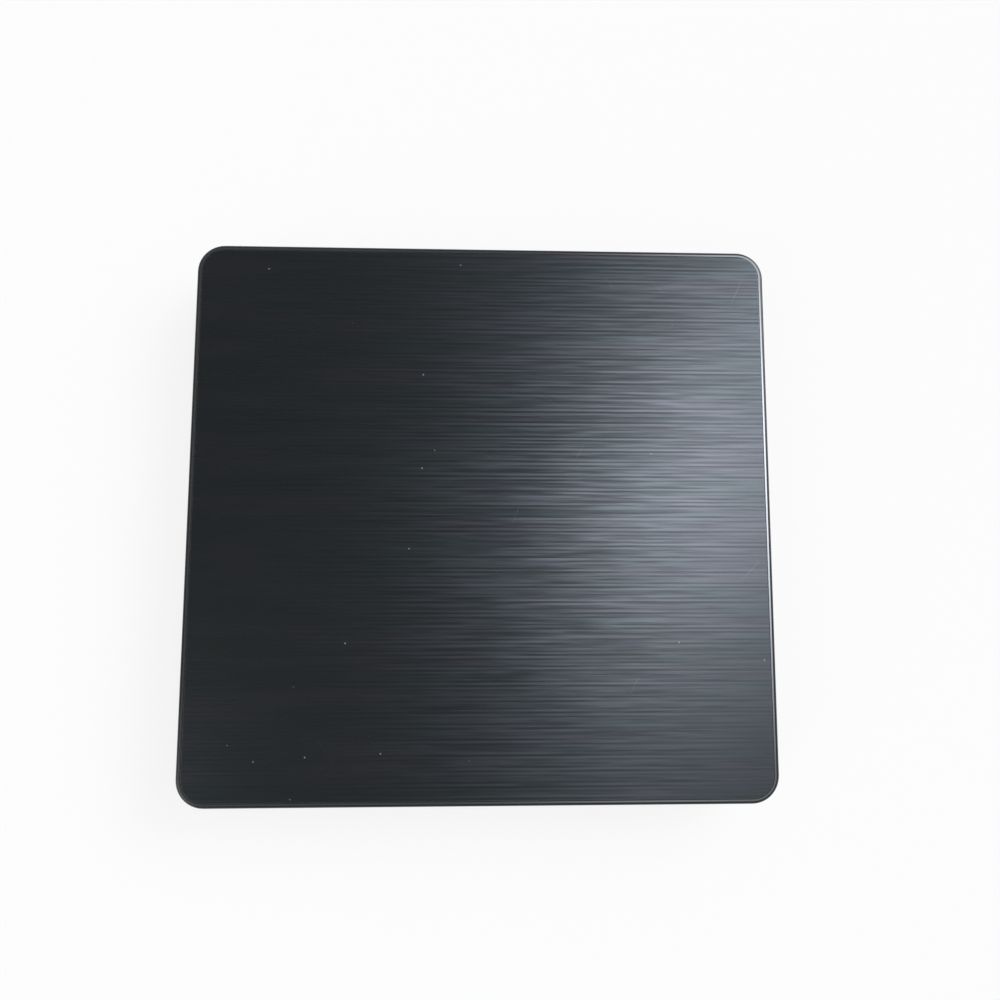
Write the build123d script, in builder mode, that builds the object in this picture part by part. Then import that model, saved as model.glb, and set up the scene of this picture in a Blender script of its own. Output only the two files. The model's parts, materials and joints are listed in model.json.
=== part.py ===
from build123d import *
import os
from math import cos, radians, sin

# A slim external disc drive with a sliding tray, in millimetres
# X is its width, +Y its rear, +Z up, with the origin on the table under its centre

# The disc sets the tray's size, the tray the drive's, and the drive the case's
disc_radius = 60.0
disc_clearance = 0.6
side_land = 2.0
front_land = 1.35
rear_land = 1.75
tray_side_gap = 0.9
tray_rear_gap = 2.5
sheet = 0.5
side_room = 8.0
chassis_front_inset = 4.0
chassis_rear_inset = 7.5
bezel_plate = 2.0
bezel_rim = 1.2
recess_radius = disc_radius + disc_clearance
tray_half = recess_radius + side_land
tray_length = front_land + 2 * recess_radius + rear_land
chassis_inner = tray_half + tray_side_gap
chassis_width = 2 * (chassis_inner + sheet)

# Case outline
case_width = chassis_width + 2 * side_room
case_depth = bezel_plate + bezel_rim + tray_length + tray_rear_gap + chassis_rear_inset
corner_radius = 6.8
wall = 1.6
edge_round = 0.9
rim_width = 1.3
rim_drop = 0.1
bottom_round = 1.2

# Heights from the table up
foot_proud = 0.8
floor_thickness = 1.0
seat_rib_height = 0.2
drive_height = 9.6
lid_thickness = 0.4
pad_thickness = 0.4
roof_thickness = 1.4
plate_thickness = 0.6
plate_gap = 0.12

floor_top = foot_proud + floor_thickness
chassis_bottom = floor_top + seat_rib_height
chassis_top = chassis_bottom + drive_height - lid_thickness
deck_floor = chassis_bottom + sheet
roof_bottom = chassis_top + lid_thickness + pad_thickness
plate_seat = roof_bottom + roof_thickness
case_top = plate_seat + plate_thickness
rim_top = case_top - rim_drop

# Shell joint, feet and case screws
parting_height = 2.8
parting_z = floor_top + parting_height
lip_height = 0.8
lip_thickness = 0.8
lip_clearance = 0.1
lip_top = parting_z + lip_height
lip_out = wall + lip_clearance
lip_in = lip_out + lip_thickness
parting_bevel = 0.25
foot_radius = 5.1
foot_recess = 0.3
foot_clearance = 0.1
foot_bevel = 0.25
foot_inset_x = 13.0
foot_inset_y = 12.5
boss_radius = 2.2
boss_inset_x = 4.4
boss_inset_y = 5.25
screw_radius = 0.9
screw_head_radius = 1.7
screw_head_height = 1.0
screw_hole_clearance = 0.05
screw_free_clearance = 0.2
head_sink = 0.2
screw_grip = 4.0
screw_end_gap = 0.3
head_clearance = 0.1
cross_length = 1.8
cross_width = 0.4
cross_depth = 0.4

# Drive chassis
chassis_front = -case_depth / 2 + chassis_front_inset
chassis_rear = case_depth / 2 - chassis_rear_inset
ear_y = 30.0
ear_radius = 2.1
ear_height = 4.0
ear_screw_radius = 0.8
ear_screw_length = 3.0
seat_rib_x = 45.0
seat_rib_width = 4.0
seat_rib_length = 96.0
ear_x = (chassis_width / 2 + case_width / 2 - lip_in) / 2
ear_z = floor_top + ear_height
lid_flange = 2.0
flange_gap = 0.05
pad_width = 5.0
pad_length = 88.0
pad_x = 52.0

# Bezel
opening_margin = 7.2
bezel_side_gap = 0.35
bezel_edge_gap = 0.3
bezel_rim_wall = 1.2
bezel_round = 1.2
bezel_edge_round = 0.45
opening_half = case_width / 2 - opening_margin
bezel_half = opening_half - bezel_side_gap
bezel_bottom = floor_top + bezel_edge_gap
bezel_top = roof_bottom - bezel_edge_gap
bezel_middle = (bezel_bottom + bezel_top) / 2
bezel_face = -case_depth / 2
bezel_inner = bezel_face + bezel_plate
bezel_back = bezel_inner + bezel_rim

# Eject button, its switch, the light and the emergency release hole
button_inset = 12.6
button_x = tray_half - button_inset
button_width = 9.6
button_height = 2.8
button_clearance = 0.2
button_lip = 0.7
button_flange = 0.8
button_travel = 0.5
button_sink = 0.1
button_round = 0.3
light_spacing = 7.4
light_x = button_x - light_spacing
light_radius = 0.8
light_clearance = 0.05
light_pipe_end = 0.3
release_spacing = 9.6
release_x = light_x - release_spacing
release_radius = 0.7
switch_stroke_gap = 0.2

# Tray
tray_front = bezel_back
rail_lift = 0.5
rail_height = 3.4
slide_clearance = 0.3
tray_plate = 0.9
recess_depth = 2.8
recess_rim = 1.4
tray_skin = 1.2
tray_wall = 1.2
tray_rear_round = 3.0
tray_edge_round = 0.35
under_clearance = 0.4
tray_rear = tray_front + tray_length
tray_bottom = deck_floor + under_clearance
rail_bottom = deck_floor + rail_lift
rail_top = rail_bottom + rail_height
tray_under = rail_top + slide_clearance
recess_floor = tray_under + tray_plate
tray_top = recess_floor + recess_depth
disc_y = tray_front + front_land + recess_radius

# Telescopic rails, from the chassis wall inwards
guide_width = 1.95
tongue = 1.3
tongue_height = 1.0
rail_width = 1.2
runner_width = 2.75
rail_rear_room = 14.0
rail_length = chassis_rear - chassis_front - rail_rear_room
guide_rear_gap = 3.0
rail_front_gap = 3.3
rail_hole_radius = 0.3
rail_hole_inset = 16.8
rail_hole_height = 0.55
tongue_z = rail_bottom + rail_height / 2
guide_in = chassis_inner - guide_width
rail_out = guide_in - slide_clearance
rail_in = rail_out - rail_width
runner_out = rail_in - slide_clearance
runner_in = runner_out - runner_width

# Mechanism deck, laid out in its own plane: the sled runs out along -Y of that plane
sled_angle = 42.0


def plane_at_spindle(turn):
    """A level plane centred on the spindle, turned about it by an angle in degrees."""
    across = (cos(radians(turn)), sin(radians(turn)), 0)
    return Plane(origin=(0, disc_y, 0), x_dir=across, z_dir=(0, 0, 1))


deck = plane_at_spindle(sled_angle)
frame_plate = 0.8
frame_gap = 0.6
frame_top = tray_under - frame_gap
frame_bottom = frame_top - frame_plate
frame_left = 23.0
frame_right = 21.0
frame_rear = 18.0
frame_nose = 13.5
nose_bar = 3.0
window_left = 20.0
window_right = 14.6
window_rear = 14.6
motor_hole_radius = 13.6

# Sled, its rods and its lead screw
lens_park = 24.0
lens_edge = 1.5
sled_travel = disc_radius - lens_park - lens_edge
sled_half_length = 6.4
sled_half_width = 10.2
rod_radius = 0.9
rod_offset = 12.5
rod_lift = 1.8
rod_z = deck_floor + rod_lift
run_clearance = 0.05
holder_width = 3.2
holder_length = 3.0
end_gap = 0.4
window_front = lens_park + sled_travel + sled_half_length + end_gap
frame_front = window_front + nose_bar
frame_shoulder_inset = 8.8
frame_shoulder = window_front - frame_shoulder_inset
rod_start = window_rear - holder_length / 2
rod_end = window_front + holder_length / 2
sled_lift = 0.1
sled_tray_gap = 0.2
sled_bottom = deck_floor + under_clearance + sled_lift
sled_top = tray_under - sled_tray_gap
sled_cover_thickness = 0.35
sled_ear_wall = 1.5
sled_ear_roof = 0.5
sled_fork_half = 2.5
sled_fork_root = 0.3
sled_well_lift = 2.6
screw_x = -17.5
lead_screw_radius = 1.1
lead_screw_lift = 2.7
lead_screw_z = deck_floor + lead_screw_lift
feed_motor_radius = 2.3
feed_motor_length = 8.0
follower_length = 2.2
follower_gap = 0.3
follower_arm = 0.9
follower_reach = 8.0
follower_height = 3.8
follower_arm_height = 2.6
bracket_thickness = 0.8
bracket_edge = 0.7
bracket_root = 1.0
bearing_tab_end = 0.5
follower_overhang = 1.0
follower_edge = 0.7
screw_in_motor = 2.5
screw_end_inset = 0.1
screw_end_play = 0.1
holder_end = 2.0
lens_holder_size = 7.6
lens_holder_gap = 0.45
lens_rise = 1.2
lens_focus = 0.3
lens_radius = 2.2
lens_dome = 0.25
lens_seat = 0.6
lens_holder_round = 0.8

# Spindle
motor_plate = 0.8
motor_plate_radius = 10.2
motor_ear_half = 18.0
motor_ear_width = 7.0
motor_ear_y = 6.5
motor_screw_x = 16.0
motor_screw_head = 1.4
motor_screw_head_height = 0.6
bearing_radius = 3.5
shaft_radius = 1.0
bearing_cap = 0.25
shaft_end_gap = 0.1
can_radius = 12.9
can_wall = 0.7
can_top = 0.6
turntable_radius = 15.0
disc_lift = 1.1
turntable_pad = 0.2
pad_inner = 12.6
pad_outer = 14.8
can_gap = 0.35
stator_gap = 0.4
stator_radius = 11.6
stator_core_radius = 6.4
stator_teeth = 9
tooth_width = 1.7
tooth_head = 1.1
turntable_z = recess_floor + disc_lift - turntable_pad
hub_radius = 7.35
hub_height = 2.0
hub_taper = 0.6
hub_nose_radius = 6.2
claw_count = 3
claw_width = 2.4
claw_inner = 4.8
claw_proud = 0.35
claw_side_gap = 0.2
claw_slot_overrun = 1.0
claw_travel = 0.4
claw_bottom = 0.5
claw_height = 1.1
claw_bevel = 0.7

# Rubber dampers that carry the deck under the tray
damper_rear = 13.0
damper_front_inset = 17.3
damper_left = 18.5
damper_right = 18.0
damper_front_right = 17.8
damper_places = [
    (-damper_left, damper_rear),
    (damper_right, damper_rear),
    (damper_front_right, -window_front + damper_front_inset),
]
damper_radius = 2.5
damper_neck = 1.85
damper_bore = 1.0
damper_hole_clearance = 0.05
damper_flange = 0.7
damper_fit = 0.05
deck_screw_radius = 0.8
deck_screw_head = 1.8
deck_screw_head_height = 0.7

# Deck cover over the mechanism
deck_cover_thickness = 0.4
deck_cover_radius = 25.0
deck_cover_left = 23.6
deck_cover_right = 21.5
deck_cover_edge_gap = 0.4
deck_cover_reach = 2.0
turntable_clearance = 0.6
lens_slot_half = 5.4
tray_window_left = 20.6
tray_window_right = 15.2
tray_window_radius = 16.5
tray_window_rise = 1.2
tray_window_nose_gap = 2.0
tray_window_left_inset = 2.4
tray_window_right_inset = 4.0
tray_nose_left = 14.5
tray_nose_right = 12.0

# Latch
latch_inset = 24.6
latch_depth = 9.55
latch_x = -tray_half + latch_inset
latch_y = tray_front + latch_depth
latch_pin_radius = 1.0
latch_hub_radius = 2.3
latch_arm = 2.4
latch_reach = 9.6
latch_hook = 2.0
latch_hook_out = 6.0
latch_thickness = 1.0
latch_lift = 0.8
latch_collar = 0.8
latch_boss_radius = 2.0
latch_boss_gap = 0.2
post_right = 8.0
post_rear = 6.0
post_x = latch_x + post_right
post_y = latch_y + post_rear
post_radius = 1.2
post_height = 2.3
post_round = 0.3
solenoid_width = 12.0
solenoid_depth = 8.0
solenoid_left = 11.5
solenoid_front = 2.0
solenoid_x = latch_x - solenoid_left
solenoid_y = latch_y - solenoid_front
solenoid_frame = 0.8
solenoid_leg = 2.2
solenoid_drop = 2.6
coil_radius = 1.75
solenoid_plunger_radius = 0.9
solenoid_plunger_offset = 2.2
solenoid_plunger_length = 11.0
plunger_frame_gap = 0.1
plunger_coil_gap = 0.05

# Ejector at the rear
ejector_inset = 14.5
ejector_x = chassis_inner - ejector_inset
ejector_width = 9.0
ejector_depth = 10.0
ejector_height = 3.8
ejector_bore = 1.5
ejector_plunger_clearance = 0.08
ejector_rear_wall = 1.0
ejector_inside = 3.0
ejector_gap = 0.3
spring_wire = 0.2
spring_radius = 1.05
spring_turns = 6
target_depth = 2.0
target_width = 4.0
target_inset = 16.8
target_lift = 0.4
ejector_rear_gap = 0.25
ejector_bore_lift = 0.1
ejector_nose_round = 0.6

# Circuit boards
board_thickness = 0.8
main_board_left_gap = 8.5
main_board_right_gap = 25.5
main_board_depth = 24.35
board_lift = 0.6
board_rear_gap = 0.4
main_board_left = -chassis_inner + main_board_left_gap
main_board_right = chassis_inner - main_board_right_gap
board_rear = chassis_rear - sheet - board_rear_gap
main_board_front = board_rear - main_board_depth
standoff_inset = 3.0
standoff_right_inset = 3.5
standoff_front_left = 25.0
standoff_rear_left = 30.0
standoff_radius = 1.7
board_screw_radius = 0.7
board_screw_head = 1.4
board_screw_head_height = 0.6
tray_board_lift = 1.0
tray_board_x = (-26.0, 4.0)
tray_board_front = 2.55
tray_board_depth = 14.5
tray_board_y = (tray_front + tray_board_front, tray_front + tray_board_front + tray_board_depth)
board_post_radius = 1.5
board_post_inset = 2.5
board_post_depth = 11.0
tray_chip_height = 0.9
chip_bevel = 0.1
capacitor_radius = 1.8
capacitor_height = 2.0
switch_board_reach = 8.6
switch_board_end = 5.5
switch_board_left = button_x - switch_board_reach
switch_board_right = button_x + switch_board_end
switch_board_gap = 0.25
switch_board_depth = 5.2
switch_board_drop = 1.5
switch_post_radius = 1.1
switch_post_inset = 1.3
switch_post_left = 1.6
switch_post_right = 1.2
switch_size = 6.0
switch_depth = 3.0
switch_stem_radius = 0.8
lamp_width = 1.6
lamp_depth = 1.0
lamp_inset = 0.5
lamp_rise = 0.5

# USB socket
usb_inset = 10.0
usb_x = main_board_left + usb_inset
usb_width = 7.7
usb_height = 3.9
usb_depth = 9.2
usb_wall = 0.3
usb_sink = 0.25
usb_clearance = 0.35
usb_tongue_width = 5.0
usb_tongue_height = 0.9
usb_tongue_gap = 0.12
usb_board_half = 8.0
usb_board_gap = 0.3
usb_board_root = 1.0
usb_pan_gap = 0.6
usb_shell_round = 0.5
usb_inner_round = 0.3
usb_mouth_round = 0.6
usb_tongue_sink = 0.8
usb_block_depth = 1.5

# Ribbon cable to the tray
ribbon_inset = 8.0
ribbon_x = main_board_left + ribbon_inset
ribbon_width = 13.0
ribbon_thickness = 0.2
ribbon_bend_depth = 30.75
ribbon_bend_y = tray_front + ribbon_bend_depth
ribbon_low = 0.15
ribbon_bend_height = 1.6
ribbon_clip_gap = 6.0
ribbon_clip_y = main_board_front - ribbon_clip_gap
ribbon_clip_length = 5.0
ribbon_clip_ramp = 3.0
ribbon_plug_rise = 0.6
ribbon_plug_depth = 2.2
ribbon_plug_end = 2.0
ribbon_drop_end = 4.5
ribbon_round = 0.8
ribbon_fold_round = 0.78
socket_wall = 1.2
socket_height = 1.3
socket_inset = 0.3
socket_depth = 3.5
socket_side_gap = 0.1
socket_end_gap = 0.2


def block(x_range, y_range, z_range, mode=Mode.ADD):
    """Adds or cuts a box between two values on each axis of the plane in use."""
    ranges = (x_range, y_range, z_range)
    with Locations([tuple((low + high) / 2 for low, high in ranges)]):
        Box(*(high - low for low, high in ranges), mode=mode)


def post(x, y, radius, z_range, mode=Mode.ADD):
    """Adds or cuts an upright cylinder at x, y between two heights."""
    low, high = z_range
    with Locations([(x, y, (low + high) / 2)]):
        Cylinder(radius, high - low, mode=mode)


def bar_along_y(x, z, radius, y_range, mode=Mode.ADD):
    """Adds or cuts a cylinder that lies along Y between two values."""
    low, high = y_range
    with Locations([(x, (low + high) / 2, z)]):
        Cylinder(radius, high - low, rotation=(90, 0, 0), mode=mode)


def slab(z_range, width, depth, radius, mode=Mode.ADD):
    """Adds or cuts a rounded rectangle about the origin between two heights."""
    low, high = z_range
    with BuildSketch(Plane.XY.offset(low)) as outline:
        RectangleRounded(width, depth, radius)
    extrude(outline.sketch, amount=high - low, mode=mode)


def case_slab(z_range, inset, mode=Mode.ADD):
    """Adds or cuts the case's outline, drawn in by an inset, between two heights."""
    slab(z_range, case_width - 2 * inset, case_depth - 2 * inset, corner_radius - inset, mode)


def front_opening():
    """Cuts the mouth that the bezel closes, through the front wall."""
    with BuildSketch(Plane.XZ.offset(case_depth / 2 - 2 * wall)) as mouth:
        with Locations((0, (floor_top + roof_bottom) / 2)):
            RectangleRounded(2 * opening_half, roof_bottom - floor_top, bezel_round)
    extrude(mouth.sketch, amount=4 * wall, mode=Mode.SUBTRACT)


def usb_opening():
    """Cuts the rear wall round the USB socket."""
    with BuildSketch(Plane.XZ.offset(-case_depth / 2 - wall)) as mouth:
        with Locations((usb_x, usb_z)):
            RectangleRounded(usb_width + 2 * usb_clearance, usb_height + 2 * usb_clearance, usb_mouth_round)
    extrude(mouth.sketch, amount=4 * wall, mode=Mode.SUBTRACT)


def cross_slot(x, y, z_range):
    """Cuts the cross that a driver fits into a screw's head at x, y."""
    long = cross_length / 2
    short = cross_width / 2
    block((x - long, x + long), (y - short, y + short), z_range, Mode.SUBTRACT)
    block((x - short, x + short), (y - long, y + long), z_range, Mode.SUBTRACT)


def save(builder, name):
    """Labels a finished piece and writes it to its own file."""
    builder.part.label = name
    export_step(builder.part, f"parts/{name}.step")


os.makedirs("parts", exist_ok=True)

# Places shared by several pieces
board_bottom = deck_floor + board_lift
board_top = board_bottom + board_thickness
switch_board_x = (switch_board_left, switch_board_right)
switch_board_front = tray_front + tray_wall + switch_board_gap
switch_board_y = (switch_board_front, switch_board_front + switch_board_depth)
latch_z = deck_floor + latch_lift
switch_board_top = bezel_middle - switch_board_drop
usb_z = board_top + usb_height / 2
ribbon_plug_z = board_top + ribbon_plug_rise
boss_x = case_width / 2 - boss_inset_x
boss_y = case_depth / 2 - boss_inset_y
boss_places = [(sx * boss_x, sy * boss_y) for sx in (-1, 1) for sy in (-1, 1)]
foot_places = [
    (sx * (case_width / 2 - foot_inset_x), sy * (case_depth / 2 - foot_inset_y))
    for sx in (-1, 1)
    for sy in (-1, 1)
]
target_back = tray_rear - target_inset
ear_places = [(sx * ear_x, sy * ear_y) for sx in (-1, 1) for sy in (-1, 1)]
standoff_places = [
    (main_board_left + standoff_front_left, main_board_front + standoff_inset),
    (main_board_right - standoff_right_inset, main_board_front + standoff_inset),
    (main_board_right - standoff_right_inset, board_rear - standoff_inset),
    (main_board_left + standoff_rear_left, board_rear - standoff_inset),
]

# Upper shell: side walls, roof with a sunk seat for the brushed plate, and screw bosses
with BuildPart() as top_cover:
    case_slab((parting_z, rim_top), 0)
    fillet(top_cover.edges().group_by(Axis.Z)[-1], edge_round)
    chamfer(top_cover.edges().group_by(Axis.Z)[0], parting_bevel)
    case_slab((parting_z, roof_bottom), wall, Mode.SUBTRACT)
    case_slab((plate_seat, case_top), rim_width, Mode.SUBTRACT)
    front_opening()
    usb_opening()
    for x, y in boss_places:
        post(x, y, boss_radius, (lip_top, roof_bottom))
        post(x, y, screw_radius + screw_hole_clearance, (lip_top, lip_top + screw_grip), Mode.SUBTRACT)
save(top_cover, "top_cover")

# Brushed plate that fills the roof, a hair inside the raised rim
with BuildPart() as top_plate:
    case_slab((plate_seat, case_top), rim_width + plate_gap)
    fillet(top_plate.edges().group_by(Axis.Z)[-1], plate_gap)
save(top_plate, "top_plate")

# Lower shell: floor, side walls, lip, posts and ribs
with BuildPart() as bottom_cover:
    case_slab((foot_proud, parting_z), 0)
    fillet(bottom_cover.edges().group_by(Axis.Z)[0], bottom_round)
    chamfer(bottom_cover.edges().group_by(Axis.Z)[-1], parting_bevel)
    case_slab((parting_z, lip_top), lip_out)
    case_slab((floor_top, lip_top), lip_in, Mode.SUBTRACT)
    front_opening()
    usb_opening()
    for side in (-1, 1):
        x = side * seat_rib_x
        block(
            (x - seat_rib_width / 2, x + seat_rib_width / 2),
            (-seat_rib_length / 2, seat_rib_length / 2),
            (floor_top, chassis_bottom),
        )
    for x, y in boss_places:
        post(x, y, boss_radius, (floor_top, lip_top))
        post(x, y, screw_radius + screw_free_clearance, (foot_proud, lip_top), Mode.SUBTRACT)
        sink = screw_head_height + head_sink
        post(x, y, screw_head_radius + head_clearance, (foot_proud, foot_proud + sink), Mode.SUBTRACT)
    for x, y in ear_places:
        post(x, y, ear_radius, (floor_top, ear_z))
        hole = ear_screw_radius + screw_hole_clearance
        post(x, y, hole, (ear_z - ear_screw_length, ear_z), Mode.SUBTRACT)
    for x, y in foot_places:
        post(x, y, foot_radius + foot_clearance, (foot_proud, foot_proud + foot_recess), Mode.SUBTRACT)
save(bottom_cover, "bottom_cover")

# Four rubber feet in shallow seats under the floor
with BuildPart() as feet:
    for x, y in foot_places:
        post(x, y, foot_radius, (0, foot_proud + foot_recess))
    chamfer(feet.edges().group_by(Axis.Z)[0], foot_bevel)
save(feet, "rubber_feet")

# Screws that pull the two shells together from below
with BuildPart() as case_screws:
    for x, y in boss_places:
        head = foot_proud + head_sink
        post(x, y, screw_head_radius, (head, head + screw_head_height))
        post(x, y, screw_radius, (head + screw_head_height, lip_top + screw_grip - screw_end_gap))
        cross_slot(x, y, (head, head + cross_depth))
save(case_screws, "case_screws")

# Pressed steel pan of the drive, open at the front, with ears on its sides
with BuildPart() as drive_chassis:
    half = chassis_width / 2
    block((-half, half), (chassis_front, chassis_rear), (chassis_bottom, chassis_top))
    block(
        (-chassis_inner, chassis_inner),
        (chassis_front - sheet, chassis_rear - sheet),
        (deck_floor, chassis_top),
        Mode.SUBTRACT,
    )
    for x, y in ear_places:
        side = 1 if x > 0 else -1
        inner, outer = sorted((side * (half - sheet), x))
        block((inner, outer), (y - ear_radius, y + ear_radius), (ear_z, ear_z + sheet))
        post(x, y, ear_radius, (ear_z, ear_z + sheet))
        post(x, y, ear_screw_radius + screw_free_clearance, (ear_z, ear_z + sheet), Mode.SUBTRACT)
    block(
        (usb_x - usb_board_half - usb_pan_gap, usb_x + usb_board_half + usb_pan_gap),
        (chassis_rear - 2 * sheet, chassis_rear + sheet),
        (deck_floor, chassis_top),
        Mode.SUBTRACT,
    )
    for x, y in standoff_places:
        post(x, y, standoff_radius, (deck_floor, board_bottom))
        post(x, y, board_screw_radius + screw_hole_clearance, (chassis_bottom, board_bottom), Mode.SUBTRACT)
save(drive_chassis, "drive_chassis")

# Steel lid of the drive, with flanges that grip the pan's sides
with BuildPart() as drive_lid:
    half = chassis_width / 2 + flange_gap + lid_thickness
    block((-half, half), (chassis_front, chassis_rear), (chassis_top, chassis_top + lid_thickness))
    for side in (-1, 1):
        inner, outer = sorted((side * (half - lid_thickness), side * half))
        for centre in (-ear_y, ear_y):
            block(
                (inner, outer),
                (centre - 2 * ear_radius, centre + 2 * ear_radius),
                (chassis_top - lid_flange, chassis_top),
            )
save(drive_lid, "drive_lid")

# Foam strips between the drive's lid and the roof
with BuildPart() as lid_pads:
    for side in (-1, 1):
        x = side * pad_x
        block(
            (x - pad_width / 2, x + pad_width / 2),
            (-pad_length / 2, pad_length / 2),
            (roof_bottom - pad_thickness, roof_bottom),
        )
save(lid_pads, "lid_pads")

# Screws through the pan's ears
with BuildPart() as chassis_screws:
    for x, y in ear_places:
        top = ear_z + sheet
        post(x, y, screw_head_radius, (top, top + screw_head_height))
        post(x, y, ear_screw_radius, (ear_z - ear_screw_length + screw_end_gap, top))
        cross_slot(x, y, (top + screw_head_height - cross_depth, top + screw_head_height))
save(chassis_screws, "chassis_screws")


def half_section(points, side):
    """Draws a closed outline in X and Z, turned over for the left side."""
    with BuildLine() as outline:
        Polyline([(side * x, z) for x, z in points], close=True)
    make_face(outline.line.edges())


tongue_low = tongue_z - tongue_height / 2
tongue_high = tongue_z + tongue_height / 2
groove_low = tongue_low - slide_clearance
groove_high = tongue_high + slide_clearance
guide_groove = guide_in + tongue
runner_groove = runner_out - tongue
guide_section = [
    (guide_in, deck_floor),
    (chassis_inner, deck_floor),
    (chassis_inner, rail_top),
    (guide_in, rail_top),
    (guide_in, groove_high),
    (guide_groove, groove_high),
    (guide_groove, groove_low),
    (guide_in, groove_low),
]
rail_section = [
    (rail_in, rail_bottom),
    (rail_out, rail_bottom),
    (rail_out, tongue_low),
    (rail_out + tongue, tongue_low),
    (rail_out + tongue, tongue_high),
    (rail_out, tongue_high),
    (rail_out, rail_top),
    (rail_in, rail_top),
    (rail_in, tongue_high),
    (rail_in - tongue, tongue_high),
    (rail_in - tongue, tongue_low),
    (rail_in, tongue_low),
]
rail_front = chassis_front + rail_front_gap

# Fixed guides on the pan and the steel rails that slide in them
for side_name, side in (("left", -1), ("right", 1)):
    with BuildPart() as guide:
        with BuildSketch(Plane.XZ.offset(-chassis_rear + guide_rear_gap)):
            half_section(guide_section, side)
        extrude(amount=chassis_rear - guide_rear_gap - chassis_front)
    save(guide, f"{side_name}_guide")
    with BuildPart() as rail:
        with BuildSketch(Plane.XZ.offset(-rail_front - rail_length)):
            half_section(rail_section, side)
        extrude(amount=rail_length)
        for y in (rail_front + rail_hole_inset, rail_front + rail_length - rail_hole_inset):
            with Locations([(side * (rail_in + rail_out) / 2, y, rail_bottom + rail_hole_height)]):
                Cylinder(rail_hole_radius, 4 * rail_width, rotation=(0, 90, 0), mode=Mode.SUBTRACT)
    save(rail, f"{side_name}_rail")


def ring_of_deck(points, z_range, mode=Mode.ADD):
    """Adds or cuts a straight-sided outline in the deck's plane between two heights."""
    low, high = z_range
    with BuildSketch(deck.offset(low)) as outline:
        with BuildLine():
            Polyline(points, close=True)
        make_face()
    extrude(outline.sketch, amount=high - low, mode=mode)


tray_window_front = frame_front - tray_window_nose_gap
tray_window = [
    (-tray_window_left, 0),
    (-tray_window_left, -window_front + tray_window_left_inset),
    (-tray_nose_left, -tray_window_front),
    (tray_nose_right, -tray_window_front),
    (tray_window_right, -tray_window_front + tray_window_right_inset),
    (tray_window_right, 0),
]

# Moulded tray: disc recess, hollow corners, runners, front wall and bosses
with BuildPart() as tray:
    block((-tray_half, tray_half), (tray_front, tray_rear), (tray_under, tray_top))
    fillet(tray.edges().filter_by(Axis.Z).group_by(Axis.Y)[-1], tray_rear_round)
    fillet(tray.edges().group_by(Axis.Z)[-1], tray_edge_round)
    with BuildSketch(Plane.XY.offset(tray_under)):
        with Locations((0, (tray_front + tray_rear) / 2)):
            Rectangle(2 * (runner_in - tray_wall), tray_length - 2 * tray_wall)
        with Locations((0, disc_y)):
            Circle(recess_radius + recess_rim, mode=Mode.SUBTRACT)
    extrude(amount=tray_top - tray_skin - tray_under, mode=Mode.SUBTRACT)
    post(0, disc_y, recess_radius, (recess_floor, tray_top), Mode.SUBTRACT)
    for side in (-1, 1):
        inner, outer = sorted((side * runner_in, side * runner_out))
        block((inner, outer), (tray_front, tray_rear - tray_rear_round), (tray_bottom, tray_under))
        inner, outer = sorted((side * runner_groove, side * runner_out))
        block((inner, outer), (tray_front, tray_rear), (groove_low, groove_high), Mode.SUBTRACT)
    block((-runner_in, runner_in), (tray_front, tray_front + tray_wall), (tray_bottom, tray_under))
    flange_space = button_height / 2 + button_lip + button_clearance
    block(
        (switch_board_x[0] - switch_board_gap, runner_in - tray_wall),
        (tray_front - tray_wall, tray_front + tray_wall),
        (bezel_middle - flange_space, bezel_middle + flange_space),
        Mode.SUBTRACT,
    )
    ring_of_deck(tray_window, (tray_under, recess_floor + tray_window_rise), Mode.SUBTRACT)
    post(0, disc_y, tray_window_radius, (tray_under, recess_floor), Mode.SUBTRACT)
    for x, y in damper_places:
        place = deck.from_local_coords((x, y, 0))
        hole = deck_screw_radius + screw_hole_clearance
        post(place.X, place.Y, hole, (tray_under, recess_floor), Mode.SUBTRACT)
    block(
        (ejector_x - target_width / 2, ejector_x + target_width / 2),
        (target_back - target_depth, target_back),
        (tray_bottom + target_lift, tray_top - tray_skin),
    )
    latch_boss_bottom = latch_z + latch_thickness + latch_collar + latch_boss_gap
    post(latch_x, latch_y, latch_boss_radius, (latch_boss_bottom, tray_top - tray_skin))
    post(latch_x, latch_y, latch_pin_radius, (tray_bottom, tray_under))
    for x in (tray_board_x[0] + board_post_inset, tray_board_x[1] - board_post_inset):
        y = tray_board_y[0] + board_post_depth
        post(x, y, board_post_radius, (tray_under - tray_board_lift, recess_floor))
    for x in (switch_board_x[0] + switch_post_left, switch_board_x[1] - switch_post_right):
        y = switch_board_y[1] - switch_post_inset
        post(x, y, switch_post_radius, (switch_board_top, tray_top - tray_skin))
save(tray, "tray")

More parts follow.
